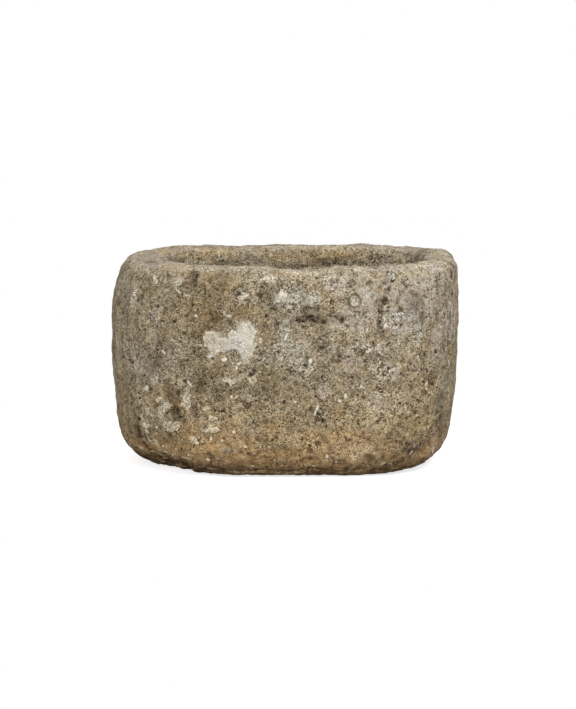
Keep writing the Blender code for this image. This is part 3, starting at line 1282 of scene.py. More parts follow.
inwards = -(points[:, :2] * normals[:, :2]).sum(axis=1)
top = cad_high.z


def slope(values, start, full, rounds):
    """0 up to one value, 1 from another on, and a slope between, smoothed along the mesh."""
    return averaged(np.clip((values - start) / (full - start), 0, 1), rounds)


# The inside and hollow fields darken the basin and the hollows: partly dirt, partly painted shade.
fields["inside"] = averaged(((heights > INSIDE_ABOVE) & (inwards > 0)).astype(float), rounds=10)
fields["bed"] = slope(-normals[:, 2], BED_START, BED_FULL, rounds=4)
fields["ends"] = slope(abs(normals[:, 0]), ENDS_START, ENDS_FULL, rounds=6)
# The rim field is strongest on the upward face of the rim: partly wear, partly painted light.
fields["rim"] = slope(heights, top - WORN_LIT_RIM, top, rounds=4) * np.clip(RIM_RISE * normals[:, 2], 0, 1)
fields["hollow_fine"] = 0.5 + fine_hollow / FINE_RANGE
fields["hollow_broad"] = 0.5 + broad_hollow / BROAD_RANGE
print(len(fields), "fields so far")

# %% Add light and warmth, and keep the fields
SOIL_FULL = 0.110
SOIL_GONE = 0.215
SOIL_WARMTH = 0.05
COOLER_ENDS = 0.02
SHADE_STAIN_SPREAD = 1.2

fields["light"] = 0.49 + 0.05 * cloud(span=0.090, seed=6)
fields["warm"] = 0.51 + 0.02 * cloud(span=0.120, seed=7)
fields["warm"] += SOIL_WARMTH * share_below(SOIL_FULL, SOIL_GONE) - COOLER_ENDS * fields["ends"]
# Part of each stain's light is painted light and shade.
for shade_stain in SHADES_AND_STAINS:
    share = fade(local_share(place_of(shade_stain.spot), shade_stain.wide, shade_stain.high, 0) / SHADE_STAIN_SPREAD)
    fields["light"] += share * shade_stain.light / 100
    fields["warm"] += share * shade_stain.warm / 100

for name, values in fields.items():
    keep_field(name, values)
print("kept", ", ".join(fields))

# %% [markdown]
# ## Small marks
#
# Marks of a few millimetres are hardly wider than the squares of the skin, so a number per point would
# blur them, and a finer skin would cost millions of triangles. Each point near such a mark keeps its
# place in the mark's own frame instead: nothing in the middle, a length of 1 at the outline. These
# places blend evenly across a face, so the shader can draw a sharp outline. Marks that lie close
# together go into different sets.

# %% A helper for small marks
MARK_THICKNESS = 40
MARK_REACH = 0.015
WIDE_MARK_REACH = 0.8
FAR_AWAY = (0, 0, 50)


def apart(chosen, point):
    """Whether a place keeps clear of all marks that a set holds so far."""
    return all((point - other).length > 2 * MARK_REACH for _, other, _ in chosen)


def own_places(chosen):
    """Each point's place in the frame of the mark that it lies near, and far away elsewhere."""
    values = np.tile(FAR_AWAY, (len(points), 1)).astype(float)
    for mark, point, normal in chosen:
        along, across = oval_axes(normal, mark.turn)
        offset = points - np.array(point)
        reach = max(MARK_REACH, max(mark.wide, mark.high) * MM * WIDE_MARK_REACH)
        near = np.linalg.norm(offset, axis=1) < reach
        axes = (along / mark.wide, across / mark.high, normal / MARK_THICKNESS)
        for column, axis in enumerate(axes):
            values[near, column] = offset[near] @ np.array(axis) * 2 / MM
    return values


def keep_marks(name, marks):
    """Stores small marks as vector attributes, as many as it takes to keep neighbours apart."""
    sets = []
    for mark in marks:
        point, normal = place_of(mark.spot)
        free = [chosen for chosen in sets if apart(chosen, point)]
        if not free:
            sets.append([])
            free = sets[-1:]
        free[0].append((mark, point, normal))
    for number, chosen in enumerate(sets):
        attribute = stone.data.attributes.new(f"{name}_{number}", "FLOAT_VECTOR", "POINT")
        attribute.data.foreach_set("vector", own_places(chosen).astype(np.float32).ravel())
    return len(sets)


print("each mark reaches at least", MARK_REACH, "m")

# %% Keep the small marks
HIDDEN_MARKS = 60
MARK_SEED = 21

marker = random.Random(MARK_SEED)


def hidden_marks(widths):
    """Random small marks on the sides that the photograph doesn't show."""
    marks = []
    for _ in range(HIDDEN_MARKS):
        spot = Around(marker.uniform(5, 175), marker.uniform(0.05, 0.37))
        wide = marker.uniform(*widths)
        high = marker.uniform(*widths)
        marks.append(Patch(spot, wide, high, turn=marker.uniform(-60, 60)))
    return tuple(marks)


white_sets = keep_marks("white", SPECKS + hidden_marks((4, 9)))
black_sets = keep_marks("black", SEEN_PITS_AND_SHADE + hidden_marks((5, 10)))
ring_sets = keep_marks("ring", RINGS)
print("white marks in", white_sets, "sets, black ones in", black_sets, "and rings in", ring_sets)

# %% [markdown]
# ## Shader groups
#
# Five effects make up the stone's finish: grain, scattered spots, lumps, ragged masks and three tones.
# Their nodes could all stand in one long chain. But most of them are needed several times, so each is
# a node group, built once and used with other values. The groups put out only numbers and colours, and
# the surface shader stays in the material.

# %% A helper for node groups
FLOAT = "NodeSocketFloat"
COLOUR = "NodeSocketColor"
VECTOR = "NodeSocketVector"


def new_group(name, inputs, outputs):
    """A shader node group with the named sockets, its input node and its output node."""
    group = bpy.data.node_groups.new(name, "ShaderNodeTree")
    for label, kind, value in inputs:
        socket = group.interface.new_socket(label, in_out="INPUT", socket_type=kind)
        if value is not None:
            socket.default_value = value
    for label, kind in outputs:
        group.interface.new_socket(label, in_out="OUTPUT", socket_type=kind)
    return group, group.nodes.new("NodeGroupInput").outputs, group.nodes.new("NodeGroupOutput").inputs


print("groups can be made")

# %% Helpers for noise and crumbs


def clouds(tree, place, size, detail, roughness):
    """A Noise Texture's value, from 0 to 1. The size of its largest clouds is in metres."""
    scale = calculate(tree, "DIVIDE", 1.0, size)
    settings = {"Vector": place, "Scale": scale, "Detail": detail, "Roughness": roughness}
    return add_node(tree, "ShaderNodeTexNoise", settings).outputs["Fac"]


def bent(tree, place, span, push):
    """The places moved about by noise, so that what is drawn on them gets crooked edges."""
    scale = calculate(tree, "DIVIDE", 1.0, span)
    noises = add_node(tree, "ShaderNodeTexNoise", {"Vector": place, "Scale": scale, "Detail": 1.0})
    middle = add_node(
        tree, "ShaderNodeVectorMath", {0: noises.outputs["Color"], 1: (0.5, 0.5, 0.5)}, operation="SUBTRACT"
    )
    moved = add_node(tree, "ShaderNodeVectorMath", {0: middle.outputs[0], "Scale": push}, operation="SCALE")
    return add_node(tree, "ShaderNodeVectorMath", {0: place, 1: moved.outputs[0]}).outputs[0]


def crumbs(tree, place, size):
    """Two random numbers for each crumb, and how far each place lies from its crumb's middle."""
    scale = calculate(tree, "DIVIDE", 1.0, size)
    cells = add_node(tree, "ShaderNodeTexVoronoi", {"Vector": place, "Scale": scale})
    numbers = add_node(tree, "ShaderNodeSeparateColor", {0: cells.outputs["Color"]}).outputs
    return numbers[0], numbers[1], cells.outputs["Distance"]


print("noise and crumbs ready")

# %% [markdown]
# ### Grain
#
# This limestone is a mass of sand and shell crumbs, each with a brightness of its own. A Noise Texture
# gives clouds but no crumbs. A Voronoi Texture gives crumbs: each of its cells has a random number.
# Three sizes of them are mixed over soft clouds and flakes. Most crumbs are drawn towards the middle
# tone, because in the real stone only a few stand out.

# %% Grain: crumbs of three sizes
BEND_SPAN = 0.0024
BEND = 0.0013
LARGE_CRUMB = 2.2
SAND_CRUMB = 0.60

grain_group, given, result = new_group(
    "stone_grain",
    [
        ("Place", VECTOR, None),
        ("Crumb Size", FLOAT, 0.0017),
        ("Crumb Contrast", FLOAT, 0.5),
        ("Cloud Contrast", FLOAT, 0.5),
        ("Liveliness", FLOAT, 1.0),
    ],
    [("Tone", FLOAT), ("Height", FLOAT)],
)
place = bent(grain_group, given["Place"], BEND_SPAN, BEND)
large_size = calculate(grain_group, "MULTIPLY", given["Crumb Size"], LARGE_CRUMB)
sand_size = calculate(grain_group, "MULTIPLY", given["Crumb Size"], SAND_CRUMB)
small_tone, _, small_distance = crumbs(grain_group, place, given["Crumb Size"])
large_tone, _, large_distance = crumbs(grain_group, place, large_size)
sand_tone, _, _ = crumbs(grain_group, given["Place"], sand_size)
print("the sand is", SAND_CRUMB, "and the large crumbs", LARGE_CRUMB, "times the crumb size")

# %% Grain: clouds and flakes
CLOUD_SIZE = 0.028
CLOUD_TONE = 0.5
FLAKE_SIZE = 0.012
FLAKE_TONE = 0.20

soft = clouds(grain_group, place, CLOUD_SIZE, detail=6.0, roughness=0.95)
soft_tone = remap(grain_group, soft, 0.36, 0.64, -CLOUD_TONE, CLOUD_TONE)
flakes = clouds(grain_group, given["Place"], FLAKE_SIZE, detail=4.0, roughness=0.75)
flake_tone = remap(grain_group, flakes, 0.46, 0.55, -FLAKE_TONE, FLAKE_TONE, kind="SMOOTHSTEP")
cloud_tone = calculate(grain_group, "ADD", soft_tone, flake_tone)
print("clouds of", CLOUD_SIZE, "m and flakes of", FLAKE_SIZE, "m")

# %% Grain: mix the tone and the height
PLAIN_SHARE = 0.15
LARGE_SHARE = 0.40
SAND_SHARE = 0.90


def sparse(tone):
    """A random tone, drawn towards the middle so that only a few crumbs stand out."""
    centred = calculate(grain_group, "SUBTRACT", tone, 0.5)
    squared = calculate(grain_group, "MULTIPLY", centred, centred)
    fourth = calculate(grain_group, "MULTIPLY", squared, squared)
    kept = calculate(grain_group, "MULTIPLY_ADD", fourth, 16 * (1 - PLAIN_SHARE), PLAIN_SHARE)
    return calculate(grain_group, "MULTIPLY", centred, kept)


parts = (sparse(large_tone), LARGE_SHARE), (sparse(sand_tone), SAND_SHARE)
crumb_tone = weighted(grain_group, sparse(small_tone), *parts)
crumb_tone = calculate(grain_group, "MULTIPLY", crumb_tone, given["Crumb Contrast"])
crumb_tone = calculate(grain_group, "MULTIPLY_ADD", crumb_tone, given["Liveliness"], 0.5)
tone = calculate(grain_group, "MULTIPLY_ADD", cloud_tone, given["Cloud Contrast"], crumb_tone)
grain_group.links.new(tone, result["Tone"])
dome = weighted(grain_group, 0.3, (large_distance, -0.6), (small_distance, -0.4))
dome = calculate(grain_group, "MULTIPLY", dome, given["Liveliness"])
grain_group.links.new(calculate(grain_group, "ADD", dome, cloud_tone), result["Height"])
print("the grain group has", len(grain_group.nodes), "nodes")

# %% [markdown]
# ### Scattered spots
#
# Pores and bright crumbs are strewn thinly over the stone. A noise cut off at a level would draw worms.
# Here a random share of the cells holds one spot each, large or small, with its outline bent.

# %% Scattered spots
spots_group, given, result = new_group(
    "scattered_spots",
    [
        ("Place", VECTOR, None),
        ("Spacing", FLOAT, 0.006),
        ("Share", FLOAT, 0.3),
        ("Reach", FLOAT, 0.35),
        ("Softness", FLOAT, 0.12),
    ],
    [("Mask", FLOAT)],
)
half = calculate(spots_group, "MULTIPLY", given["Spacing"], 0.5)
place = bent(spots_group, given["Place"], half, given["Spacing"])
chance, size_share, distance = crumbs(spots_group, place, given["Spacing"])
size_share = calculate(spots_group, "ADD", size_share, 0.5)
reach = calculate(spots_group, "MULTIPLY", given["Reach"], size_share)
full = calculate(spots_group, "SUBTRACT", reach, given["Softness"])
gone = calculate(spots_group, "ADD", reach, given["Softness"])
spot = remap(spots_group, distance, full, gone, 1.0, 0.0, kind="SMOOTHSTEP")
chosen = calculate(spots_group, "LESS_THAN", chance, given["Share"])
spots_group.links.new(calculate(spots_group, "MULTIPLY", spot, chosen), result["Mask"])
print("the spots group has", len(spots_group.nodes), "nodes")

# %% [markdown]
# ### Lumps
#
# Lichen grows in small cushions, like a cauliflower. Clouds of noise are too smooth for that. So two
# sizes of cells are turned into domes, the small ones on top of the large ones, and these give the
# lichen both its tone and its height.

# %% Lumps
lumps_group, given, result = new_group(
    "lichen_lumps",
    [("Place", VECTOR, None), ("Size", FLOAT, 0.006), ("Contrast", FLOAT, 1.0)],
    [("Tone", FLOAT), ("Height", FLOAT)],
)
half = calculate(lumps_group, "MULTIPLY", given["Size"], 0.5)
place = bent(lumps_group, given["Place"], half, given["Size"])
_, lump_tone, lump_distance = crumbs(lumps_group, place, given["Size"])
_, _, crumb_distance = crumbs(lumps_group, place, half)
dome = weighted(lumps_group, 0.58, (lump_distance, -0.9), (crumb_distance, -0.5), (lump_tone, 0.35))
tone = calculate(lumps_group, "MULTIPLY_ADD", dome, given["Contrast"], 0.5)
lumps_group.links.new(tone, result["Tone"])
lumps_group.links.new(dome, result["Height"])
print("the lumps group has", len(lumps_group.nodes), "nodes")

# %% [markdown]
# ### Ragged masks
#
# A patch's field fades out evenly, but real lichen ends in a torn edge, with islands outside and holes
# within. Cutting the field off at a level and blurring that would stay round. So noise is added to the
# field first, and the sum is cut off at the level of its outline.

# %% Ragged masks
ragged_group, given, result = new_group(
    "ragged_mask",
    [
        ("Place", VECTOR, None),
        ("Field", FLOAT, 0.0),
        ("Size", FLOAT, 0.010),
        ("Fineness", FLOAT, 0.8),
        ("Raggedness", FLOAT, 1.5),
        ("Softness", FLOAT, 0.08),
        ("Outline", FLOAT, 0.5),
    ],
    [("Mask", FLOAT)],
)
noisy = clouds(ragged_group, given["Place"], given["Size"], detail=5.0, roughness=given["Fineness"])
torn = calculate(ragged_group, "SUBTRACT", noisy, 0.5)
pushed = calculate(ragged_group, "MULTIPLY_ADD", torn, given["Raggedness"], given["Field"])
lower = calculate(ragged_group, "SUBTRACT", given["Outline"], given["Softness"])
upper = calculate(ragged_group, "ADD", given["Outline"], given["Softness"])
ragged_group.links.new(remap(ragged_group, pushed, lower, upper, kind="SMOOTHSTEP"), result["Mask"])
print("the mask group has", len(ragged_group.nodes), "nodes")

# %% [markdown]
# ### Three tones
#
# A tone from 0 to 1 becomes a colour: dark at 0, the skin's own colour at 0.5, and light at 1. A Color
# Ramp does the same, but its colours can't be inputs of a group, and here every skin brings its own.

# %% Three tones
tones_group, given, result = new_group(
    "three_tones",
    [("Tone", FLOAT, 0.5), ("Dark", COLOUR, None), ("Middle", COLOUR, None), ("Light", COLOUR, None)],
    [("Color", COLOUR)],
)
to_middle = remap(tones_group, given["Tone"], 0.0, 0.5)
to_light = remap(tones_group, given["Tone"], 0.5, 1.0)
lower = blend(tones_group, to_middle, given["Dark"], given["Middle"])
tones_group.links.new(blend(tones_group, to_light, lower, given["Light"]), result["Color"])
print("the tones group has", len(tones_group.nodes), "nodes")

# %% [markdown]
# ## The limestone's finish
#
# The colours are read off the photograph as screen values and turned into the linear values that a
# shader wants. Each kind of skin has three of them: the dark of its pores, its middle and the light of
# its crumbs. One colour with noise on top would look like painted plaster, because real crumbs change
# in hue as well as in brightness.

# %% Name the colours


def screen_colour(red, green, blue):
    """A colour given as screen values from 0 to 255, turned into linear light."""
    shares = (value / 255 for value in (red, green, blue))
    linear = (s / 12.92 if s <= 0.04045 else ((s + 0.055) / 1.055) ** 2.4 for s in shares)
    return (*linear, 1.0)


Tones = namedtuple("Tones", "dark middle light")

SKINS = {
    "grey": Tones(dark=(74, 63, 46), middle=(138, 123, 99), light=(199, 187, 163)),
    "ochre": Tones(dark=(80, 64, 40), middle=(147, 127, 95), light=(204, 186, 150)),
    "brown": Tones(dark=(82, 60, 37), middle=(153, 126, 91), light=(209, 185, 147)),
    "worn_and_lit": Tones(dark=(80, 66, 46), middle=(166, 150, 127), light=(224, 212, 190)),
    "crust": Tones(dark=(84, 70, 49), middle=(192, 181, 158), light=(236, 229, 212)),
    "soil": Tones(dark=(36, 28, 17), middle=(92, 75, 52), light=(150, 130, 98)),
    "pale": Tones(dark=(86, 74, 59), middle=(161, 148, 129), light=(214, 203, 186)),
    "green": Tones(dark=(76, 68, 50), middle=(153, 145, 122), light=(220, 213, 194)),
    # The dark skin also paints shade in the crevice, above the near rim and along the right edge.
    "dark": Tones(dark=(42, 35, 25), middle=(104, 91, 71), light=(168, 154, 129)),
    "lime": Tones(dark=(146, 135, 115), middle=(202, 195, 179), light=(236, 231, 219)),
}
print(len(SKINS), "kinds of skin")

# %% Start the material
limestone, tree = new_material("weathered_limestone")
where = add_node(tree, "ShaderNodeTexCoord").outputs["Object"]


def field(name):
    """The socket of one of the stone's attributes."""
    return add_node(tree, "ShaderNodeAttribute", attribute_name=name).outputs["Fac"]


def use_group(group, **inputs):
    """Puts a node group in the material with its own values, and gives its outputs."""
    node = add_node(tree, "ShaderNodeGroup", node_tree=group)
    fill_inputs(tree, node, {label.replace("_", " "): value for label, value in inputs.items()})
    return node.outputs


print("started", limestone.name)

# %% [markdown]
# ### Lively and calm places
#
# The real grain isn't equally strong all over. Some places are busy with crumbs and pores, and others
# look almost plain. Equal grain would look like sprayed paint, so clouds of a few centimetres say how
# lively each place is. Crust and green lichen make it livelier, the brown foot and pale lichen calmer.

# %% Place the grain and the lumps
LIVELY_SPAN = 0.034
CALMEST = 0.42
LIVELIEST = 1.75
LIVELIER_BY = {"crust": 0.50, "green": 0.25, "brown": -0.35, "pale": -0.15}
CRUMB_SIZE = 0.0016
CRUMB_CONTRAST = 2.9
CLOUD_CONTRAST = 0.60

lively_clouds = clouds(tree, where, LIVELY_SPAN, detail=4.0, roughness=0.70)
lively = remap(tree, lively_clouds, 0.44, 0.62, CALMEST, LIVELIEST, kind="SMOOTHSTEP")
lively = weighted(tree, lively, *((field(name), extra) for name, extra in LIVELIER_BY.items()))
grain = use_group(
    grain_group,
    Place=where,
    Crumb_Size=CRUMB_SIZE,
    Crumb_Contrast=CRUMB_CONTRAST,
    Cloud_Contrast=CLOUD_CONTRAST,
    Liveliness=lively,
)
lumps = use_group(lumps_group, Place=where, Size=0.0075, Contrast=1.1)
knobs = use_group(lumps_group, Place=where, Size=0.0044, Contrast=1.7)
print("crumbs of", CRUMB_SIZE, "m")

# %% Scatter the pores
Spots = namedtuple("Spots", "spacing reach softness")

SMALL_PORES = Spots(spacing=0.0050, reach=0.25, softness=0.06)
LARGE_PORES = Spots(spacing=0.0120, reach=0.20, softness=0.05)
LARGE_PORE_SHARE = 0.22


def scattered(kind, share):
    """The mask of one kind of spot. The share says how many of the cells hold one."""
    return use_group(
        spots_group, Place=where, Spacing=kind.spacing, Share=share, Reach=kind.reach, Softness=kind.softness
    )[0]


small_pore_share = weighted(tree, -0.05, (lively, 0.38), (field("pale"), 0.10))
small_pores = scattered(SMALL_PORES, small_pore_share)
large_pores = scattered(LARGE_PORES, LARGE_PORE_SHARE)
print("pores every", SMALL_PORES.spacing, "and", LARGE_PORES.spacing, "m")

# %% [markdown]
# ### Kinds of skin, one over the other
#
# Bare stone comes first, mottled between grey and ochre. Then each kind of growth or stain covers what
# lies below it, as it does on the real stone, where soil lines the edge of a crust and lime lies on
# top. A single mix of all kinds would have no such order. Each layer is a ragged mask of its field.

# %% List the layers
Layer = namedtuple(
    "Layer",
    "field skin grain size fineness raggedness softness outline lumps knobs",
    defaults=(0.0, 0.0),
)

LAYERS = (
    Layer("ochre", "ochre", grain=0.9, size=0.022,
          fineness=0.65, raggedness=2.2, softness=0.14, outline=0.50),
    Layer("brown", "brown", grain=0.8, size=0.034,
          fineness=0.70, raggedness=1.6, softness=0.36, outline=0.55),
    # The rim's pale skin is partly wear and partly painted light on its upward face.
    Layer("rim", "worn_and_lit", grain=0.85, size=0.020,
          fineness=0.65, raggedness=1.6, softness=0.16, outline=0.45),
    Layer("pale", "pale", grain=0.55, lumps=0.25, knobs=0.20, size=0.018,
          fineness=0.62, raggedness=2.6, softness=0.07, outline=0.52),
    Layer("green", "green", grain=0.6, lumps=0.55, knobs=0.25, size=0.015,
          fineness=0.60, raggedness=2.6, softness=0.07, outline=0.52),
    # Dark lichen and dirt, and painted shade in the crevice, above the near rim and along the right edge.
    Layer("dark", "dark", grain=0.8, lumps=0.3, size=0.012,
          fineness=0.62, raggedness=2.6, softness=0.10, outline=0.60),
    Layer("crust", "soil", grain=0.8, size=0.018,
          fineness=0.52, raggedness=-3.4, softness=0.12, outline=0.84),
    Layer("crust", "crust", grain=0.5, lumps=0.2, knobs=0.8, size=0.016,
          fineness=0.60, raggedness=3.4, softness=0.08, outline=0.80),
    Layer("lime", "lime", grain=0.55, lumps=0.2, knobs=0.15, size=0.0085,
          fineness=0.80, raggedness=1.6, softness=0.06, outline=0.50),
)
print(len(LAYERS), "layers over the bare stone")

# %% Lay them over the bare stone
MOTTLE_SPAN = 0.038
MOTTLE_MOST = 0.60


def skin_colour(name, tone):
    """The colour of one kind of skin at a tone."""
    dark, middle, light = (screen_colour(*shade) for shade in SKINS[name])
    return use_group(tones_group, Tone=tone, Dark=dark, Middle=middle, Light=light)[0]


def mixed_tone(layer):
    """The tone of a skin: some of the grain, and some lumps and knobs where lichen has grown."""
    sources = ((grain, layer.grain), (lumps, layer.lumps), (knobs, layer.knobs))
    parts = [(source["Tone"], share) for source, share in sources if share]
    return weighted(tree, (1 - layer.grain - layer.lumps - layer.knobs) / 2, *parts)


def layer_mask(layer):
    """Where a layer lies."""
    return use_group(
        ragged_group,
        Place=where,
        Field=field(layer.field),
        Size=layer.size,
        Fineness=layer.fineness,
        Raggedness=layer.raggedness,
        Softness=layer.softness,
        Outline=layer.outline,
    )[0]


mottle_clouds = clouds(tree, where, MOTTLE_SPAN, detail=5.0, roughness=0.75)
mottle = remap(tree, mottle_clouds, 0.44, 0.58, to_high=MOTTLE_MOST, kind="SMOOTHSTEP")
colour = blend(tree, mottle, skin_colour("grey", grain["Tone"]), skin_colour("ochre", grain["Tone"]))
masks = {}
for layer in LAYERS:
    masks[layer.skin] = layer_mask(layer)
    colour = blend(tree, masks[layer.skin], colour, skin_colour(layer.skin, mixed_tone(layer)))
print("laid", ", ".join(masks))

# %% [markdown]
# ### Small marks
#
# The length of a mark's own place is 1 on its outline, so a white speck is wherever that length is
# less than 1, and a ring is wherever it is near 1. Noise makes the outlines crooked. Spots drawn in a
# picture would look the same, but this needs none and stays sharp at any distance.

# %% Draw the small marks
MARK_WANDER_SPAN = 0.0050
NO_MARK_NEAR = 10.0

mark_clouds = clouds(tree, where, MARK_WANDER_SPAN, detail=3.0, roughness=0.7)
mark_noise = calculate(tree, "SUBTRACT", mark_clouds, 0.5)


def mark_distance(name, count, wander):
    """How far each place lies from the nearest mark: 0 in its middle, 1 at its crooked outline."""
    nearest = NO_MARK_NEAR
    for number in range(count):
        attribute = add_node(tree, "ShaderNodeAttribute", attribute_name=f"{name}_{number}")
        own_place = attribute.outputs["Vector"]
        length = add_node(tree, "ShaderNodeVectorMath", {0: own_place}, operation="LENGTH").outputs["Value"]
        nearest = calculate(tree, "MINIMUM", nearest, length)
    return calculate(tree, "MULTIPLY_ADD", mark_noise, wander, nearest)


def nearer_than(distance, full, gone):
    """1 up to one distance, 0 beyond another, and a soft slope between."""
    return remap(tree, distance, full, gone, 1.0, 0.0, kind="SMOOTHSTEP")


white_marks = nearer_than(mark_distance("white", white_sets, wander=1.2), full=0.75, gone=1.2)
black_marks = nearer_than(mark_distance("black", black_sets, wander=1.4), full=0.70, gone=1.2)
from_ring = mark_distance("ring", ring_sets, wander=0.4)
ring_outside = nearer_than(from_ring, full=0.92, gone=1.10)
ring_inside = remap(tree, from_ring, 0.66, 0.80, kind="SMOOTHSTEP")
ring_marks = calculate(tree, "MULTIPLY", ring_outside, ring_inside)
print("drawn from", white_sets + black_sets + ring_sets, "sets")

# %% [markdown]
# ### Bright crumbs, open pores, dirt and painted shade
#
# Where the skin sinks in, it is darkened: partly dirt, and partly painted shade. Rain washes the knobs
# pale. An Ambient Occlusion node finds hollows too, but it works them out anew for each picture. Here
# the mesh was measured once, and its attributes know the hollows, fine and broad. Lime and crust have
# grown over the pores and this darkening, so both are thinned there.

# %% Scatter bright crumbs and find bare stone
BRIGHT_CRUMBS = Spots(spacing=0.0048, reach=0.34, softness=0.10)
CRUST_COVER = 0.8
SEEN_THROUGH_COVER = 0.3

crumb_share = weighted(tree, -0.03, (field("crust"), 0.34), (lively, 0.12), (masks["pale"], 0.12))
bright_crumbs = scattered(BRIGHT_CRUMBS, crumb_share)
whitish = calculate(tree, "MAXIMUM", masks["lime"], white_marks)
grown_over = calculate(tree, "MAXIMUM", whitish, calculate(tree, "MULTIPLY", masks["crust"], CRUST_COVER))
bare = remap(tree, grown_over, 0.0, 1.0, 1.0, SEEN_THROUGH_COVER)
pores = calculate(tree, "MULTIPLY", calculate(tree, "MAXIMUM", small_pores, large_pores), bare)
# Black marks in the crevice and along the right edge add painted shade there, with the pits.
pores = calculate(tree, "MAXIMUM", pores, black_marks)
print("bright crumbs every", BRIGHT_CRUMBS.spacing, "m")

# %% [markdown]
# ### The damp foot and its painted shade
#
# Water has drawn up from the ground, and at the foot the stone's own flat beds show as dark streaks.
# The darkening of the foot is also painted shade, where the lower edge turns under. The noise is
# squeezed in height to draw the streaks. On the hidden underside it would turn into blotches, so the
# darkening is nearly even there.

# %% Lay the damp foot and its painted shade
LAYER_FLATNESS = (1.0, 1.0, 9.0)
STREAK_SPAN = 0.045
WALL_STREAKS = 0.82
BED_STREAKS = 0.10
BED_DARKENING = 0.40


def scaled_places(scale):
    """The stone's places scaled along each axis, which squeezes or draws out what is drawn on them."""
    return add_node(tree, "ShaderNodeVectorMath", {0: where, 1: scale}, operation="MULTIPLY").outputs[0]


foot = use_group(ragged_group, Place=where, Field=field("foot"), Size=0.012, Raggedness=1.4, Softness=0.4)[0]
layering = clouds(tree, scaled_places(LAYER_FLATNESS), STREAK_SPAN, detail=4.0, roughness=0.65)
streaks = remap(tree, layering, 0.46, 0.54, kind="SMOOTHSTEP")
streak_strength = remap(tree, field("bed"), 0.0, 1.0, WALL_STREAKS, BED_STREAKS)
streaks = calculate(tree, "MULTIPLY", streaks, streak_strength)
damp_and_shade = calculate(tree, "MULTIPLY", foot, weighted(tree, streaks, (field("bed"), BED_DARKENING)))
print("streaks are squeezed", LAYER_FLATNESS[2], "times in height")

# %% [markdown]
# ### Washes
#
# Thin washes go over the layers: rings and crumbs first, then dirt and painted shade in the hollows and
# inside the basin, wear, the damp and painted shade of the foot, open pores, and white specks last. Mixed
# into the layers they would need masks of their own for every kind of skin. A loop blends them one by one
# over the finished layers, each through one mask.

# %% Wash them over the stone
RING = screen_colour(88, 80, 57)
CRUMB = screen_colour(216, 208, 188)
DIRT_AND_SHADE = screen_colour(60, 48, 34)
WORN = screen_colour(196, 184, 162)
DAMP_AND_SHADE = screen_colour(62, 44, 26)
PORE = screen_colour(40, 33, 24)
WHITE = screen_colour(232, 227, 214)


def thinned(mask, strength):
    """A mask at a part of its strength."""
    return calculate(tree, "MULTIPLY", mask, strength)


# The three dark washes from the hollows and the inside are partly dirt and partly painted shade, and the
# damp wash is partly painted shade of the foot.
WASHES = (
    (RING, thinned(ring_marks, 0.80)),
    (CRUMB, thinned(bright_crumbs, 0.80)),
    (DIRT_AND_SHADE, thinned(remap(tree, field("hollow_fine"), 0.58, 0.95, to_high=0.60), bare)),
    (WORN, remap(tree, field("hollow_fine"), 0.42, 0.12, to_high=0.30)),
    (DIRT_AND_SHADE, thinned(remap(tree, field("hollow_broad"), 0.60, 0.95, to_high=0.45), bare)),
    (DIRT_AND_SHADE, remap(tree, field("inside"), 0.3, 1.0, to_high=0.06)),
    (DAMP_AND_SHADE, damp_and_shade),
    (PORE, thinned(pores, 0.85)),
    (WHITE, thinned(white_marks, 0.90)),
)
for paint, share in WASHES:
    colour = blend(tree, share, colour, paint)
print(len(WASHES), "washes")

# %% [markdown]
# ### Broad stains and painted light, and runs on the ends
#
# Last, two fields tint the whole: light makes a place brighter or duller, partly as painted light and
# shade, and warm shifts it between yellow and blue. On the two ends rain has left faint upright runs, so
# there a noise that is drawn out in height joins the light. The tint multiplies the colour, so that it
# keeps all the grain below it.

# %% Tint the stone
RUN_LENGTH = (1.0, 1.0, 0.16)
RUN_SPAN = 0.014
RUN_STRENGTH = 0.15
BLUE_AGAINST_WARM = -2.0

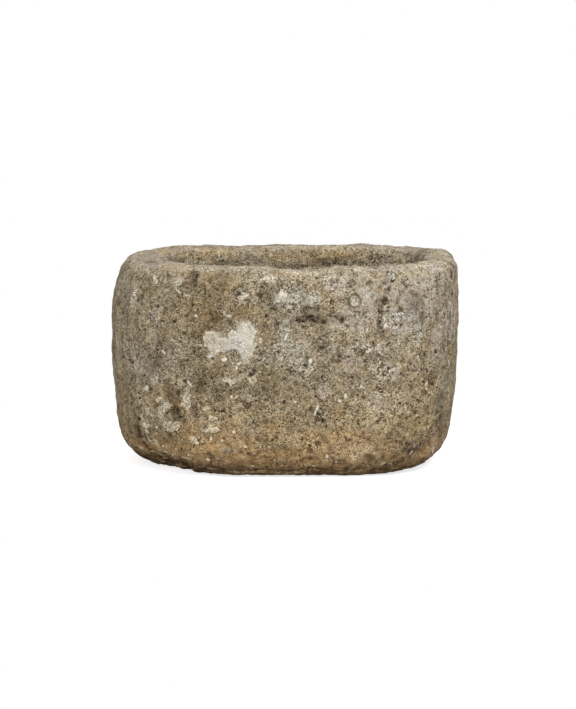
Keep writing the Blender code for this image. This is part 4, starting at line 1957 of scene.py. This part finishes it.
running = clouds(tree, scaled_places(RUN_LENGTH), RUN_SPAN, detail=4.0, roughness=0.75)
runs = remap(tree, running, 0.40, 0.60, -RUN_STRENGTH, RUN_STRENGTH)
light = calculate(tree, "MULTIPLY_ADD", runs, field("ends"), field("light"))
warm = calculate(tree, "SUBTRACT", field("warm"), 0.5)
green = calculate(tree, "ADD", light, 0.5)
red = calculate(tree, "ADD", green, warm)
blue = weighted(tree, green, (warm, BLUE_AGAINST_WARM))
tint = add_node(tree, "ShaderNodeCombineColor", {0: red, 1: green, 2: blue}).outputs[0]
colour = add_node(
    tree, "ShaderNodeMix", {0: 1.0, 6: colour, 7: tint}, data_type="RGBA", blend_type="MULTIPLY"
).outputs[2]
print("the runs change the light by up to", RUN_STRENGTH)

# %% [markdown]
# ### Bump and surface shader
#
# The mesh holds all relief down to a few millimetres. What is finer, such as sand, lichen cushions and
# pinprick pores, would need millions of triangles, so a Bump node adds it. The stone is dull: almost
# fully rough, with a weak highlight.

# %% Bump and surface shader
GRAIN_HEIGHT = 0.0007
LUMP_HEIGHT = 0.0010
PORE_DEPTH = 0.0012
CRUST_HEIGHT = 0.0006
PALE_LUMPS = 0.5
STONE_ROUGHNESS = 0.92
STONE_SPECULAR = 0.25

grown = calculate(tree, "MAXIMUM", masks["green"], calculate(tree, "MULTIPLY", masks["pale"], PALE_LUMPS))
relief = weighted(
    tree,
    0.0,
    (grain["Height"], GRAIN_HEIGHT),
    (calculate(tree, "MULTIPLY", lumps["Height"], grown), LUMP_HEIGHT),
    (pores, -PORE_DEPTH),
    (bright_crumbs, CRUST_HEIGHT),
    (whitish, CRUST_HEIGHT),
)
bump = add_node(tree, "ShaderNodeBump", {"Height": relief, "Strength": 1.0, "Distance": 1.0})
shader = add_node(
    tree,
    "ShaderNodeBsdfPrincipled",
    {
        "Base Color": colour,
        "Roughness": STONE_ROUGHNESS,
        "Specular IOR Level": STONE_SPECULAR,
        "Normal": bump.outputs[0],
    },
)
add_node(tree, "ShaderNodeOutputMaterial", {"Surface": shader.outputs[0]})
stone.data.materials.clear()
stone.data.materials.append(limestone)
print("the material has", len(tree.nodes), "nodes")
